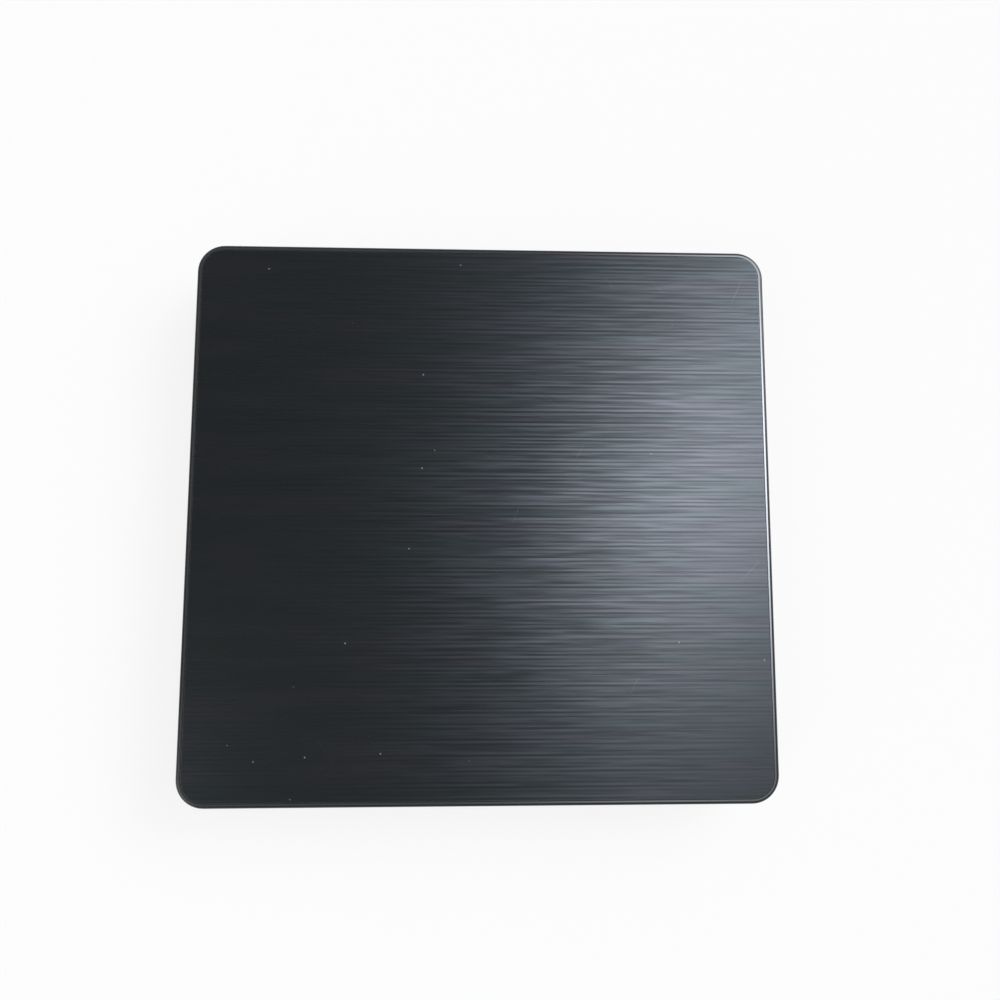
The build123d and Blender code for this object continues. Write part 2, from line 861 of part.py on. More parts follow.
# Front bezel of the tray, hollow behind, pierced for button, light and release pin
with BuildPart() as front_bezel:
    with BuildSketch(Plane.XZ.offset(-bezel_back)):
        with Locations((0, bezel_middle)):
            RectangleRounded(2 * bezel_half, bezel_top - bezel_bottom, bezel_round)
    extrude(amount=bezel_back - bezel_face)
    fillet(front_bezel.edges().group_by(Axis.Y)[0], bezel_edge_round)
    with BuildSketch(Plane.XZ.offset(-bezel_back)):
        with Locations((0, bezel_middle)):
            Rectangle(2 * (bezel_half - bezel_rim_wall), bezel_top - bezel_bottom - 2 * bezel_rim_wall)
    extrude(amount=bezel_rim, mode=Mode.SUBTRACT)
    with BuildSketch(Plane.XZ.offset(-bezel_back)):
        with Locations((button_x, bezel_middle)):
            gap = 2 * button_clearance
            SlotOverall(button_width + gap, button_height + gap)
    extrude(amount=2 * (bezel_back - bezel_face), mode=Mode.SUBTRACT)
    full = (bezel_face - wall, bezel_back)
    bar_along_y(light_x, bezel_middle, light_radius + light_clearance, full, Mode.SUBTRACT)
    bar_along_y(release_x, bezel_middle, release_radius, full, Mode.SUBTRACT)
save(front_bezel, "front_bezel")

# Eject button, kept in by a flange behind the bezel's plate
flange_front = bezel_inner + button_clearance
with BuildPart() as eject_button:
    with BuildSketch(Plane.XZ.offset(-flange_front)):
        with Locations((button_x, bezel_middle)):
            SlotOverall(button_width, button_height)
    extrude(amount=flange_front - bezel_face - button_sink)
    fillet(eject_button.edges().group_by(Axis.Y)[0], button_round)
    with BuildSketch(Plane.XZ.offset(-flange_front - button_flange)):
        with Locations((button_x, bezel_middle)):
            SlotOverall(button_width + 2 * button_lip, button_height + 2 * button_lip)
    extrude(amount=button_flange)
save(eject_button, "eject_button")

# Clear light pipe
with BuildPart() as light_pipe:
    bar_along_y(light_x, bezel_middle, light_radius, (bezel_face, tray_front + light_pipe_end))
save(light_pipe, "light_pipe")

# Stamped deck frame with its big window, nose bar and turned-down tabs
frame_outline = [
    (-frame_left, frame_rear),
    (-frame_left, -frame_shoulder),
    (-frame_nose, -frame_front),
    (frame_nose, -frame_front),
    (frame_right, -frame_shoulder),
    (frame_right, frame_rear),
]
screw_near_end = window_rear - screw_end_inset
motor_face = lens_park - sled_half_length + sled_travel + follower_length - follower_overhang + follower_gap
bracket_front = motor_face + bracket_thickness
bearing_face = lens_park - sled_half_length - follower_overhang - follower_gap
with BuildPart(deck) as deck_frame:
    ring_of_deck(frame_outline, (frame_bottom, frame_top))
    post(0, 0, motor_hole_radius, (frame_bottom, frame_top), Mode.SUBTRACT)
    block(
        (-window_left, window_right),
        (-window_front, -window_rear),
        (frame_bottom, frame_top),
        Mode.SUBTRACT,
    )
    for x, y in damper_places:
        post(x, y, damper_neck + damper_hole_clearance, (frame_bottom, frame_top), Mode.SUBTRACT)
    tab_low = lead_screw_z - lead_screw_radius - bracket_edge
    tab_left = -window_left - bracket_root
    tab_right = screw_x + feed_motor_radius
    block((tab_left, tab_right), (-bracket_front, -motor_face), (tab_low, frame_top))
    bearing_tab = (-bearing_face, -window_rear + bearing_tab_end)
    block((tab_left, tab_right), bearing_tab, (tab_low, frame_top))
    hole = lead_screw_radius + run_clearance
    hole_range = (-bracket_front, -screw_near_end + screw_end_play)
    bar_along_y(screw_x, lead_screw_z, hole, hole_range, Mode.SUBTRACT)
save(deck_frame, "deck_frame")

# Cover over the deck, inside the disc recess, with the turntable's hole and the lens slot
with BuildPart(deck) as deck_cover:
    with BuildSketch(deck.offset(recess_floor)):
        Circle(deck_cover_radius)
        reach = window_front + deck_cover_reach
        middle = (deck_cover_right - deck_cover_left) / 2
        with Locations((middle, -reach / 2)):
            Rectangle(deck_cover_left + deck_cover_right, reach)
        Circle(recess_radius - deck_cover_edge_gap, mode=Mode.INTERSECT)
        Circle(turntable_radius + turntable_clearance, mode=Mode.SUBTRACT)
        with Locations((0, -reach / 2)):
            Rectangle(2 * lens_slot_half, reach, mode=Mode.SUBTRACT)
    extrude(amount=deck_cover_thickness)
save(deck_cover, "deck_cover")

# Rubber dampers in the frame's holes, and the screws through them
with BuildPart(deck) as dampers:
    for x, y in damper_places:
        low = frame_bottom - damper_fit
        high = frame_top + damper_fit
        post(x, y, damper_neck, (low, high))
        post(x, y, damper_radius, (low - damper_flange, low))
        post(x, y, damper_radius, (high, tray_under))
        post(x, y, damper_bore, (low - damper_flange, tray_under), Mode.SUBTRACT)
save(dampers, "deck_dampers")
with BuildPart(deck) as deck_screws:
    for x, y in damper_places:
        seat = frame_bottom - damper_fit - damper_flange
        post(x, y, deck_screw_head, (seat - deck_screw_head_height, seat))
        post(x, y, deck_screw_radius, (seat, recess_floor))
save(deck_screws, "deck_screws")

# Spindle motor base with its bearing tube
bearing_bottom = deck_floor + under_clearance
rotor_bottom = frame_bottom + can_gap
with BuildPart(deck) as motor_base:
    post(0, 0, motor_plate_radius, (frame_bottom - motor_plate, frame_bottom))
    block(
        (-motor_ear_half, motor_ear_half),
        (motor_ear_y - motor_ear_width / 2, motor_ear_y + motor_ear_width / 2),
        (frame_bottom - motor_plate, frame_bottom),
    )
    post(0, 0, bearing_radius, (bearing_bottom, turntable_z - can_top - stator_gap))
    bore = shaft_radius + run_clearance
    post(0, 0, bore, (bearing_bottom + bearing_cap, turntable_z), Mode.SUBTRACT)
    for side in (-1, 1):
        hole = deck_screw_radius + screw_hole_clearance
        x = side * motor_screw_x
        post(x, motor_ear_y, hole, (frame_bottom - motor_plate, frame_bottom), Mode.SUBTRACT)
save(motor_base, "motor_base")

# Wound stator: a core with nine teeth
with BuildPart(deck) as motor_stator:
    with BuildSketch(deck.offset(frame_bottom)):
        Circle(stator_core_radius)
        with PolarLocations(stator_core_radius, stator_teeth):
            with Locations((stator_core_radius / 4, 0)):
                Rectangle(stator_core_radius, tooth_width)
        with PolarLocations(stator_radius - tooth_head, stator_teeth):
            Rectangle(tooth_head, 3 * tooth_width)
        Circle(bearing_radius, mode=Mode.SUBTRACT)
    extrude(amount=turntable_z - can_top - stator_gap - frame_bottom)
save(motor_stator, "motor_stator")

# Rotor: turntable, magnet can and shaft in one turned piece
with BuildPart(deck) as rotor:
    post(0, 0, turntable_radius, (turntable_z - can_top, turntable_z))
    post(0, 0, can_radius, (rotor_bottom, turntable_z - can_top))
    post(0, 0, can_radius - can_wall, (rotor_bottom, turntable_z - can_top), Mode.SUBTRACT)
    post(0, 0, shaft_radius, (bearing_bottom + bearing_cap + shaft_end_gap, turntable_z))
save(rotor, "spindle_rotor")

# Rubber ring that the disc sits on
with BuildPart(deck) as turntable_ring:
    post(0, 0, pad_outer, (turntable_z, turntable_z + turntable_pad))
    post(0, 0, pad_inner, (turntable_z, turntable_z + turntable_pad), Mode.SUBTRACT)
save(turntable_ring, "turntable_ring")

# Centring hub with slots for the clamp claws
claw_z = (turntable_z + claw_bottom, turntable_z + claw_bottom + claw_height)
slot_inner = claw_inner - claw_travel - claw_side_gap
slot_outer = hub_radius + claw_slot_overrun
with BuildPart(deck) as hub:
    with BuildSketch(Plane(deck.origin, x_dir=deck.x_dir, z_dir=-deck.y_dir)):
        with BuildLine():
            Polyline(
                [
                    (0, turntable_z),
                    (hub_radius, turntable_z),
                    (hub_radius, turntable_z + hub_height - hub_taper),
                    (hub_nose_radius, turntable_z + hub_height),
                    (0, turntable_z + hub_height),
                ],
                close=True,
            )
        make_face()
    revolve(axis=Axis(deck.origin, (0, 0, 1)))
    for k in range(claw_count):
        turn = plane_at_spindle(sled_angle + 360 * k / claw_count)
        with BuildSketch(turn.offset(claw_z[0] - claw_side_gap)):
            with Locations(((slot_inner + slot_outer) / 2, 0)):
                Rectangle(slot_outer - slot_inner, claw_width + 2 * claw_side_gap)
        extrude(amount=claw_height + 2 * claw_side_gap, mode=Mode.SUBTRACT)
save(hub, "disc_hub")

# Sprung claws that hold the disc from above
for k in range(claw_count):
    with BuildPart() as claw:
        turn = plane_at_spindle(sled_angle + 360 * k / claw_count)
        with BuildSketch(turn.offset(claw_z[0])):
            with Locations(((claw_inner + hub_radius + claw_proud) / 2, 0)):
                Rectangle(hub_radius + claw_proud - claw_inner, claw_width)
        extrude(amount=claw_height)
        rim = claw.edges().group_by(Axis(turn.origin, turn.x_dir))[-1]
        chamfer(rim.group_by(Axis.Z)[0], claw_bevel)
    save(claw, f"clamp_claw_{k + 1}")

# Screws under the motor base
with BuildPart(deck) as motor_screws:
    for side in (-1, 1):
        seat = frame_bottom - motor_plate
        x = side * motor_screw_x
        post(x, motor_ear_y, motor_screw_head, (seat - motor_screw_head_height, seat))
        post(x, motor_ear_y, deck_screw_radius, (seat, frame_bottom))
save(motor_screws, "motor_screws")

# Two polished rods and the four plastic blocks that hold their ends
for rod_name, x in (("main_rod", -rod_offset), ("guide_rod", rod_offset)):
    with BuildPart(deck) as rod:
        bar_along_y(x, rod_z, rod_radius, (-rod_end, -rod_start))
    save(rod, rod_name)
with BuildPart(deck) as rod_holders:
    for side in (-1, 1):
        x = side * rod_offset
        far_end = (-window_front - holder_length, -window_front)
        near_end = (-window_rear, -rod_start + holder_end)
        for front, rear in (far_end, near_end):
            block(
                (x - holder_width / 2, x + holder_width / 2),
                (front, rear),
                (deck_floor + under_clearance, frame_bottom),
            )
        bore = rod_radius + run_clearance
        bar_along_y(x, rod_z, bore, (-rod_end, -rod_start), Mode.SUBTRACT)
save(rod_holders, "rod_holders")

# Feed motor and the lead screw that it turns
screw_tip = bracket_front + screw_in_motor
with BuildPart(deck) as feed_motor:
    length = (-bracket_front - feed_motor_length, -bracket_front)
    bar_along_y(screw_x, lead_screw_z, feed_motor_radius, length)
    hole = lead_screw_radius + run_clearance
    bar_along_y(screw_x, lead_screw_z, hole, (-screw_tip - screw_end_gap, -bracket_front), Mode.SUBTRACT)
save(feed_motor, "feed_motor")
with BuildPart(deck) as lead_screw:
    bar_along_y(screw_x, lead_screw_z, lead_screw_radius, (-screw_tip, -screw_near_end))
save(lead_screw, "lead_screw")

# Laser sled: die-cast base with a bored ear, a forked ear and a well for the lens
sled_near = -lens_park + sled_half_length
sled_far = -lens_park - sled_half_length
ear_out = rod_offset + sled_ear_wall
ear_top = rod_z + rod_radius + sled_ear_roof
well = lens_holder_size / 2 + lens_holder_gap
well_floor = deck_floor + sled_well_lift
fork_range = (-lens_park - sled_fork_half, -lens_park + sled_fork_half)
with BuildPart(deck) as sled_base:
    block((-sled_half_width, sled_half_width), (sled_far, sled_near), (sled_bottom, sled_top))
    block((-ear_out, -sled_half_width), (sled_far, sled_near), (sled_bottom, ear_top))
    block((sled_half_width, ear_out), fork_range, (sled_bottom, ear_top))
    bore = rod_radius + run_clearance
    bar_along_y(-rod_offset, rod_z, bore, (sled_far, sled_near), Mode.SUBTRACT)
    block(
        (rod_offset - rod_radius - sled_fork_root, ear_out),
        fork_range,
        (rod_z - bore, rod_z + bore),
        Mode.SUBTRACT,
    )
    block((-well, well), (-lens_park - well, -lens_park + well), (well_floor, sled_top), Mode.SUBTRACT)
save(sled_base, "sled_base")

# Thin steel cover on the sled
with BuildPart(deck) as sled_cover:
    top = sled_top + sled_cover_thickness
    block((-sled_half_width, sled_half_width), (sled_far, sled_near), (sled_top, top))
    block((-well, well), (-lens_park - well, -lens_park + well), (sled_top, top), Mode.SUBTRACT)
save(sled_cover, "sled_cover")

# Follower that rides the lead screw, fixed to the sled's side
with BuildPart(deck) as follower:
    head_near = sled_near + follower_overhang
    low = lead_screw_z - follower_height / 2
    high = lead_screw_z + follower_height / 2
    left = screw_x - lead_screw_radius - follower_edge
    block((left, -ear_out), (head_near - follower_length, head_near), (low, high))
    arm = (lead_screw_z - follower_arm_height / 2, lead_screw_z + follower_arm_height / 2)
    block((-ear_out - follower_arm, -ear_out), (sled_near - follower_reach, sled_near), arm)
    clear = lead_screw_radius + follower_gap
    bar_along_y(screw_x, lead_screw_z, clear, (head_near - follower_length, head_near), Mode.SUBTRACT)
save(follower, "screw_follower")

# Lens holder that floats in the well, and the lens
holder_top = sled_top + sled_cover_thickness + lens_rise
holder_low = well_floor + 2 * lens_focus
with BuildPart(deck) as lens_holder:
    half = lens_holder_size / 2
    block((-half, half), (-lens_park - half, -lens_park + half), (holder_low, holder_top))
    fillet(lens_holder.edges().filter_by(Axis.Z), lens_holder_round)
    post(0, -lens_park, lens_radius, (holder_top - lens_seat, holder_top), Mode.SUBTRACT)
save(lens_holder, "lens_holder")
with BuildPart(deck) as objective_lens:
    post(0, -lens_park, lens_radius, (holder_top - lens_seat, holder_top + lens_dome))
    fillet(objective_lens.edges().group_by(Axis.Z)[-1], lens_dome)
save(objective_lens, "objective_lens")

# Latch lever on its pin, with a hook that catches the post
with BuildPart() as latch_lever:
    with BuildSketch(Plane.XY.offset(latch_z)):
        with Locations((latch_x, latch_y)):
            Circle(latch_hub_radius)
        with BuildLine():
            Polyline(
                [
                    (latch_x - latch_arm / 2, latch_y),
                    (latch_x + latch_arm / 2, latch_y),
                    (latch_x + latch_arm / 2, latch_y + latch_reach - latch_hook / 4),
                    (latch_x + latch_hook_out, latch_y + latch_reach),
                    (latch_x + latch_hook_out, latch_y + latch_reach + latch_hook / 2),
                    (latch_x + latch_arm / 2, latch_y + latch_reach + latch_hook),
                    (latch_x - latch_arm / 2, latch_y + latch_reach + latch_hook),
                ],
                close=True,
            )
        make_face()
    extrude(amount=latch_thickness)
    post(latch_x, latch_y, latch_hub_radius, (latch_z, latch_z + latch_thickness + latch_collar))
    bore = latch_pin_radius + run_clearance
    post(latch_x, latch_y, bore, (latch_z, latch_boss_bottom), Mode.SUBTRACT)
save(latch_lever, "latch_lever")

# Post on the pan that the hook catches
with BuildPart() as latch_post:
    post(post_x, post_y, post_radius, (deck_floor, deck_floor + post_height))
    fillet(latch_post.edges().group_by(Axis.Z)[-1], post_round)
save(latch_post, "latch_post")

# Solenoid that frees the latch: bent frame, coil and plunger
coil_z = tray_top - tray_skin - solenoid_drop
with BuildPart() as solenoid_frame_part:
    x_range = (solenoid_x - solenoid_width / 2, solenoid_x + solenoid_width / 2)
    y_range = (solenoid_y - solenoid_depth / 2, solenoid_y + solenoid_depth / 2)
    block(x_range, y_range, (tray_top - tray_skin - solenoid_frame, tray_top - tray_skin))
    for low in (x_range[0], x_range[1] - solenoid_frame):
        block((low, low + solenoid_frame), y_range, (coil_z - solenoid_leg, tray_top - tray_skin))
    with Locations([(x_range[1], solenoid_y, coil_z)]):
        hole = solenoid_plunger_radius + plunger_frame_gap
        Cylinder(hole, 4 * solenoid_frame, rotation=(0, 90, 0), mode=Mode.SUBTRACT)
save(solenoid_frame_part, "solenoid_frame")
with BuildPart() as solenoid_coil:
    length = solenoid_width - 2 * solenoid_frame
    with Locations([(solenoid_x, solenoid_y, coil_z)]):
        Cylinder(coil_radius, length, rotation=(0, 90, 0))
        bore = solenoid_plunger_radius + plunger_coil_gap
        Cylinder(bore, length, rotation=(0, 90, 0), mode=Mode.SUBTRACT)
save(solenoid_coil, "solenoid_coil")
with BuildPart() as solenoid_plunger:
    with Locations([(solenoid_x + solenoid_plunger_offset, solenoid_y, coil_z)]):
        Cylinder(solenoid_plunger_radius, solenoid_plunger_length, rotation=(0, 90, 0))
save(solenoid_plunger, "solenoid_plunger")

# Ejector: a block on the pan, its plunger and its spring
ejector_rear = chassis_rear - sheet - ejector_rear_gap
ejector_front = ejector_rear - ejector_depth
ejector_z = deck_floor + ejector_height / 2 + ejector_bore_lift
bore_end = ejector_rear - ejector_rear_wall
plunger_back = ejector_front + ejector_inside
with BuildPart() as ejector_block:
    block(
        (ejector_x - ejector_width / 2, ejector_x + ejector_width / 2),
        (ejector_front, ejector_rear),
        (deck_floor, deck_floor + ejector_height),
    )
    bar_along_y(ejector_x, ejector_z, ejector_bore, (ejector_front, bore_end), Mode.SUBTRACT)
save(ejector_block, "ejector_block")
with BuildPart() as ejector_plunger:
    nose = target_back + ejector_gap
    radius = ejector_bore - ejector_plunger_clearance
    bar_along_y(ejector_x, ejector_z, radius, (nose, plunger_back))
    fillet(ejector_plunger.edges().group_by(Axis.Y)[0], ejector_nose_round)
save(ejector_plunger, "ejector_plunger")
with BuildPart() as ejector_spring:
    height = bore_end - plunger_back - 2 * spring_wire
    start = (ejector_x, plunger_back + spring_wire, ejector_z)
    with BuildLine() as coil:
        Helix(height / spring_turns, height, spring_radius, start, (0, 1, 0))
    with BuildSketch(Plane(coil.line @ 0, z_dir=coil.line % 0)):
        Circle(spring_wire)
    sweep(path=coil.line)
save(ejector_spring, "ejector_spring")

# Main board in the rear of the pan, with a tongue under the USB socket
with BuildPart() as main_board:
    block((main_board_left, main_board_right), (main_board_front, board_rear), (board_bottom, board_top))
    block(
        (usb_x - usb_board_half, usb_x + usb_board_half),
        (board_rear - usb_board_root, case_depth / 2 - lip_in - usb_board_gap),
        (board_bottom, board_top),
    )
    for x, y in standoff_places:
        post(x, y, board_screw_radius + screw_free_clearance, (board_bottom, board_top), Mode.SUBTRACT)
save(main_board, "main_board")
with BuildPart() as board_screws:
    for x, y in standoff_places:
        post(x, y, board_screw_head, (board_top, board_top + board_screw_head_height))
        post(x, y, board_screw_radius, (chassis_bottom, board_top))
save(board_screws, "board_screws")

# Chips on the main board, as x and y from its left front corner, width, depth and height
chip_table = [
    (41.0, 11.0, 14.0, 14.0, 1.2),
    (58.0, 14.0, 8.0, 10.0, 1.0),
    (77.0, 10.0, 11.0, 9.0, 1.0),
    (21.0, 16.0, 7.0, 7.0, 0.9),
    (53.0, 4.5, 5.0, 3.2, 1.2),
    (67.0, 21.0, 5.0, 2.6, 1.0),
]

# Two round capacitors, placed the same way
capacitor_places = [(65.5, 5.0), (88.0, 13.5)]
with BuildPart() as board_chips:
    for dx, dy, width, depth, height in chip_table:
        x = main_board_left + dx
        y = main_board_front + dy
        block(
            (x - width / 2, x + width / 2),
            (y - depth / 2, y + depth / 2),
            (board_top, board_top + height),
        )
    chamfer(board_chips.edges().group_by(Axis.Z)[-1], chip_bevel)
    for dx, dy in capacitor_places:
        top = board_top + capacitor_height
        post(main_board_left + dx, main_board_front + dy, capacitor_radius, (board_top, top))
save(board_chips, "board_chips")

# Ribbon socket on the board
with BuildPart() as ribbon_socket:
    half = ribbon_width / 2 + socket_wall
    front = main_board_front + socket_inset
    y_range = (front, front + socket_depth)
    block((ribbon_x - half, ribbon_x + half), y_range, (board_top, board_top + socket_height))
    slot = ribbon_width / 2 + socket_side_gap
    slot_end = main_board_front + ribbon_plug_depth + socket_end_gap
    mouth = (ribbon_plug_z - ribbon_thickness, ribbon_plug_z + ribbon_thickness)
    block((ribbon_x - slot, ribbon_x + slot), (main_board_front, slot_end), mouth, Mode.SUBTRACT)
save(ribbon_socket, "ribbon_socket")

# USB socket: folded steel shell and its plastic tongue
usb_mouth = case_depth / 2 - usb_sink
usb_back = usb_mouth - usb_depth
with BuildPart() as usb_shell:
    x_range = (usb_x - usb_width / 2, usb_x + usb_width / 2)
    block(x_range, (usb_back, usb_mouth), (board_top, board_top + usb_height))
    fillet(usb_shell.edges().filter_by(Axis.Y), usb_shell_round)
    with BuildSketch(Plane.XZ.offset(-usb_mouth)):
        with Locations((usb_x, usb_z)):
            inside = 2 * usb_wall
            RectangleRounded(usb_width - inside, usb_height - inside, usb_inner_round)
    extrude(amount=usb_depth - usb_wall, mode=Mode.SUBTRACT)
save(usb_shell, "usb_shell")
with BuildPart() as usb_tongue:
    x_range = (usb_x - usb_tongue_width / 2, usb_x + usb_tongue_width / 2)
    z_range = (usb_z - usb_tongue_height / 2, usb_z + usb_tongue_height / 2)
    block(x_range, (usb_back + usb_wall, usb_mouth - usb_tongue_sink), z_range)
    margin = usb_wall + usb_tongue_gap
    inside = (usb_x - usb_width / 2 + margin, usb_x + usb_width / 2 - margin)
    height = (board_top + margin, board_top + usb_height - margin)
    block(inside, (usb_back + usb_wall, usb_back + usb_wall + usb_block_depth), height)
save(usb_tongue, "usb_tongue")

# Board under the tray's left front, with its chips below it
tray_board_top = tray_under - tray_board_lift
with BuildPart() as tray_board:
    block(tray_board_x, tray_board_y, (tray_board_top - board_thickness, tray_board_top))
save(tray_board, "tray_board")

# Its chips, as x and y from the board's corner, width and depth
tray_chip_table = [(4.0, 3.0, 8.0, 8.0), (15.0, 4.5, 5.0, 5.0), (22.5, 2.0, 5.0, 3.0)]
with BuildPart() as tray_chips:
    x = tray_board_x[0]
    y = tray_board_y[0]
    high = tray_board_top - board_thickness
    for dx, dy, width, depth in tray_chip_table:
        block((x + dx, x + dx + width), (y + dy, y + dy + depth), (high - tray_chip_height, high))
save(tray_chips, "tray_chips")

# Small board, switch and light behind the bezel's right end
with BuildPart() as switch_board:
    block(switch_board_x, switch_board_y, (switch_board_top - board_thickness, switch_board_top))
save(switch_board, "switch_board")
with BuildPart() as eject_switch:
    half = switch_size / 2
    y_range = (switch_board_y[0], switch_board_y[0] + switch_depth)
    z_range = (switch_board_top, bezel_middle + switch_board_drop)
    block((button_x - half, button_x + half), y_range, z_range)
    stem_tip = flange_front + button_flange + button_travel + switch_stroke_gap
    bar_along_y(button_x, bezel_middle, switch_stem_radius, (stem_tip, switch_board_y[0]))
save(eject_switch, "eject_switch")
with BuildPart() as light_source:
    x_range = (light_x - lamp_width / 2, light_x + lamp_width / 2)
    y_range = (switch_board_y[0] + lamp_inset, switch_board_y[0] + lamp_inset + lamp_depth)
    block(x_range, y_range, (switch_board_top, bezel_middle + lamp_rise))
save(light_source, "light_source")

# Ribbon cable from the board, round a bend and up to the tray's underside
low = deck_floor + ribbon_low
with BuildPart() as tray_ribbon:
    with BuildSketch(Plane.YZ.offset(ribbon_x - ribbon_width / 2)):
        with BuildLine():
            FilletPolyline(
                [
                    (main_board_front + ribbon_plug_depth, ribbon_plug_z),
                    (main_board_front - ribbon_plug_end, ribbon_plug_z),
                    (main_board_front - ribbon_drop_end, low),
                    (ribbon_bend_y, low),
                    (ribbon_bend_y, low + ribbon_bend_height),
                    (ribbon_clip_y - ribbon_clip_ramp, low + ribbon_bend_height),
                    (ribbon_clip_y, tray_under - ribbon_thickness / 2),
                    (ribbon_clip_y + ribbon_clip_length, tray_under - ribbon_thickness / 2),
                ],
                radius=2 * [ribbon_round] + 2 * [ribbon_fold_round] + 2 * [ribbon_round],
            )
        trace(line_width=ribbon_thickness)
    extrude(amount=ribbon_width)
save(tray_ribbon, "tray_ribbon")
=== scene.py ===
import json
import math

import bmesh
import bpy
import numpy as np
from mathutils import Matrix, Vector


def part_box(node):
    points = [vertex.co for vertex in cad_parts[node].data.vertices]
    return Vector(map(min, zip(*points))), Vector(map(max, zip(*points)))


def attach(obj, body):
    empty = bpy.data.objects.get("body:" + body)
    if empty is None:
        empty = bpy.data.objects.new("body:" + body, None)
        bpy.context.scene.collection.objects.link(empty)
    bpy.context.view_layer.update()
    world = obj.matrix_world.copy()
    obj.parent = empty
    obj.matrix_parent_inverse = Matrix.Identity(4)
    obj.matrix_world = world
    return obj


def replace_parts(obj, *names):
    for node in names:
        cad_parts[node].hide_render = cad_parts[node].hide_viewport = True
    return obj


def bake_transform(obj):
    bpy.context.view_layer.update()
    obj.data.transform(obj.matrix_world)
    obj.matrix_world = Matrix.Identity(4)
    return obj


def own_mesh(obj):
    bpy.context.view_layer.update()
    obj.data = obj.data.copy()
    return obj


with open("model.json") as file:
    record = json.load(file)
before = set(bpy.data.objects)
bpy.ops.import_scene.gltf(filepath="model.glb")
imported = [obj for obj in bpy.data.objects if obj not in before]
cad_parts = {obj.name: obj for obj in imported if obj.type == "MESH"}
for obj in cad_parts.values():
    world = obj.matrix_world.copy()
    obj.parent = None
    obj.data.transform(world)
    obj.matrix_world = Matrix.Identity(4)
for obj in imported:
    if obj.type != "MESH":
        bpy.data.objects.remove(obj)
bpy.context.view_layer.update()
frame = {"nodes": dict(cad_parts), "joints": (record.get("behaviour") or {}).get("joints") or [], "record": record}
nodes = frame["nodes"]

# Lengths are metres; a value in millimetres is written times MM
MM = 0.001

# View from above, almost square on
camera_place = Vector((0.25, -8.0, 163.85)) * MM
camera_target = Vector((4.35, 4.41, 13.0)) * MM
camera_roll = math.radians(0.112)
camera_lens = 21.96
camera_sensor = 36.0

# Soft lamp: tilt from overhead and bearing from +X in degrees, distance, width, height, and watts
lamps = {
    "fill_lamp": (62, 215, 1.2, 0.9, 0.5, 1.6),
}

# Soft windows: tilt from overhead, bearing from +X and lean of the long side from Y, in degrees,
# then the sines where they fade to 1/e, across and along, and the brightness in the middle
windows = {
    "roof_window": (22, 17, 18, 0.165, 0.31, 4.9),
    "side_window": (60, 32, -32, 0.19, 0.36, 11.0),
}
window_colour = (0.93, 0.95, 1.06, 1)
white = (1, 1, 1, 1)

# The ceiling darkens from the walls' level to its own between two sines of the height
wall_level = 1.0
ceiling_level = 0.08
ceiling_start = 0.46
ceiling_full = 0.60
# What matt faces get from the whole room
ambient_level = 0.30

# The floor glows by this share where it is open, and less where it is covered within the reach
floor_size = 6.0
floor_colour = (0.96, 0.95, 0.93, 1)
floor_glow_share = 0.80
floor_shade_reach = 0.03
floor_shade_range = (0.12, 0.45)

# Where most of a noise's values lie
noise_middle = (0.3, 0.7)
# The wave texture's own factor on its place
wave_rate = 20.0

# Grooves of the plate: how much finer each set is than the pitch, and its share of the contrast
groove_sets = ((1.0, 0.35), (1.37, 0.40), (2.9, 0.25))
# Distance in the noise between neighbouring rows, so that they have nothing in common
row_distance = 17.31
# A row's noise from the first to the second value becomes a strength from the third to the fourth
row_strength = (0.33, 0.67, -0.2, 1.0)

# How finely rolling lines divide each axis: along X on sheets, along Y on rails and the socket
sheet_lines = (60.0, 1800.0, 1800.0)
rail_lines = (1800.0, 60.0, 1800.0)
plunger_lines = (80.0, 2000.0, 2000.0)

# Painted highlight: colour of the thin light metallic band along the shell's rim crest
crest_highlight_colour = (0.27, 0.285, 0.28, 1)
conductor_grey = (0.42, 0.43, 0.45, 1)
land_gold = (0.55, 0.48, 0.28, 1)
# Painted shade for the uncut holes of the circuit board
hole_shade = (0.01, 0.012, 0.01, 1)

# Wear and dust
film_scratch = (0.30, 0.31, 0.32, 1)
film_dust = (0.35, 0.35, 0.34, 1)
gloss_dust = (0.30, 0.30, 0.29, 1)
satin_dust = (0.32, 0.32, 0.31, 1)
rubber_dust = (0.16, 0.16, 0.155, 1)
rubbed_paint = (0.35, 0.35, 0.36, 1)

# Pieces made here keep an edge hard where it turns by more than this
crease = math.radians(38)


def add(tree, kind, inputs=(), **settings):
    """Adds a shader node, sets its settings, and sets or links its inputs."""
    node = tree.nodes.new("ShaderNode" + kind)
    for name, value in settings.items():
        setattr(node, name, value)
    for key, value in dict(inputs).items():
        if isinstance(value, bpy.types.NodeSocket):
            tree.links.new(value, node.inputs[key])
        else:
            node.inputs[key].default_value = value
    return node


def calc(tree, operation, a, b=0.0, clamp=False):
    """The value of a calculation on two numbers."""
    return add(tree, "Math", {0: a, 1: b}, operation=operation, use_clamp=clamp).outputs[0]


def times(tree, a, b):
    """One number times another."""
    return calc(tree, "MULTIPLY", a, b)


def remap(tree, value, low, high, to_low=0.0, to_high=1.0):
    """A value moved from one range to another and kept inside it."""
    ends = {"Value": value, "From Min": low, "From Max": high, "To Min": to_low, "To Max": to_high}
    return add(tree, "MapRange", ends).outputs["Result"]


def noise(tree, place, scale, detail=2.0, roughness=0.5):
    """A smooth random value at a place."""
    inputs = {"Vector": place, "Scale": scale, "Detail": detail, "Roughness": roughness}
    return add(tree, "TexNoise", inputs).outputs[0]


def blend_colour(tree, share, first, second):
    """Two colours mixed by a share from 0 to 1."""
    inputs = {0: share, 6: first, 7: second}
    return add(tree, "Mix", inputs, data_type="RGBA").outputs[2]


def brightened(tree, colour, level):
    """A colour times a level."""
    return add(tree, "VectorMath", {0: colour, 3: level}, operation="SCALE").outputs[0]


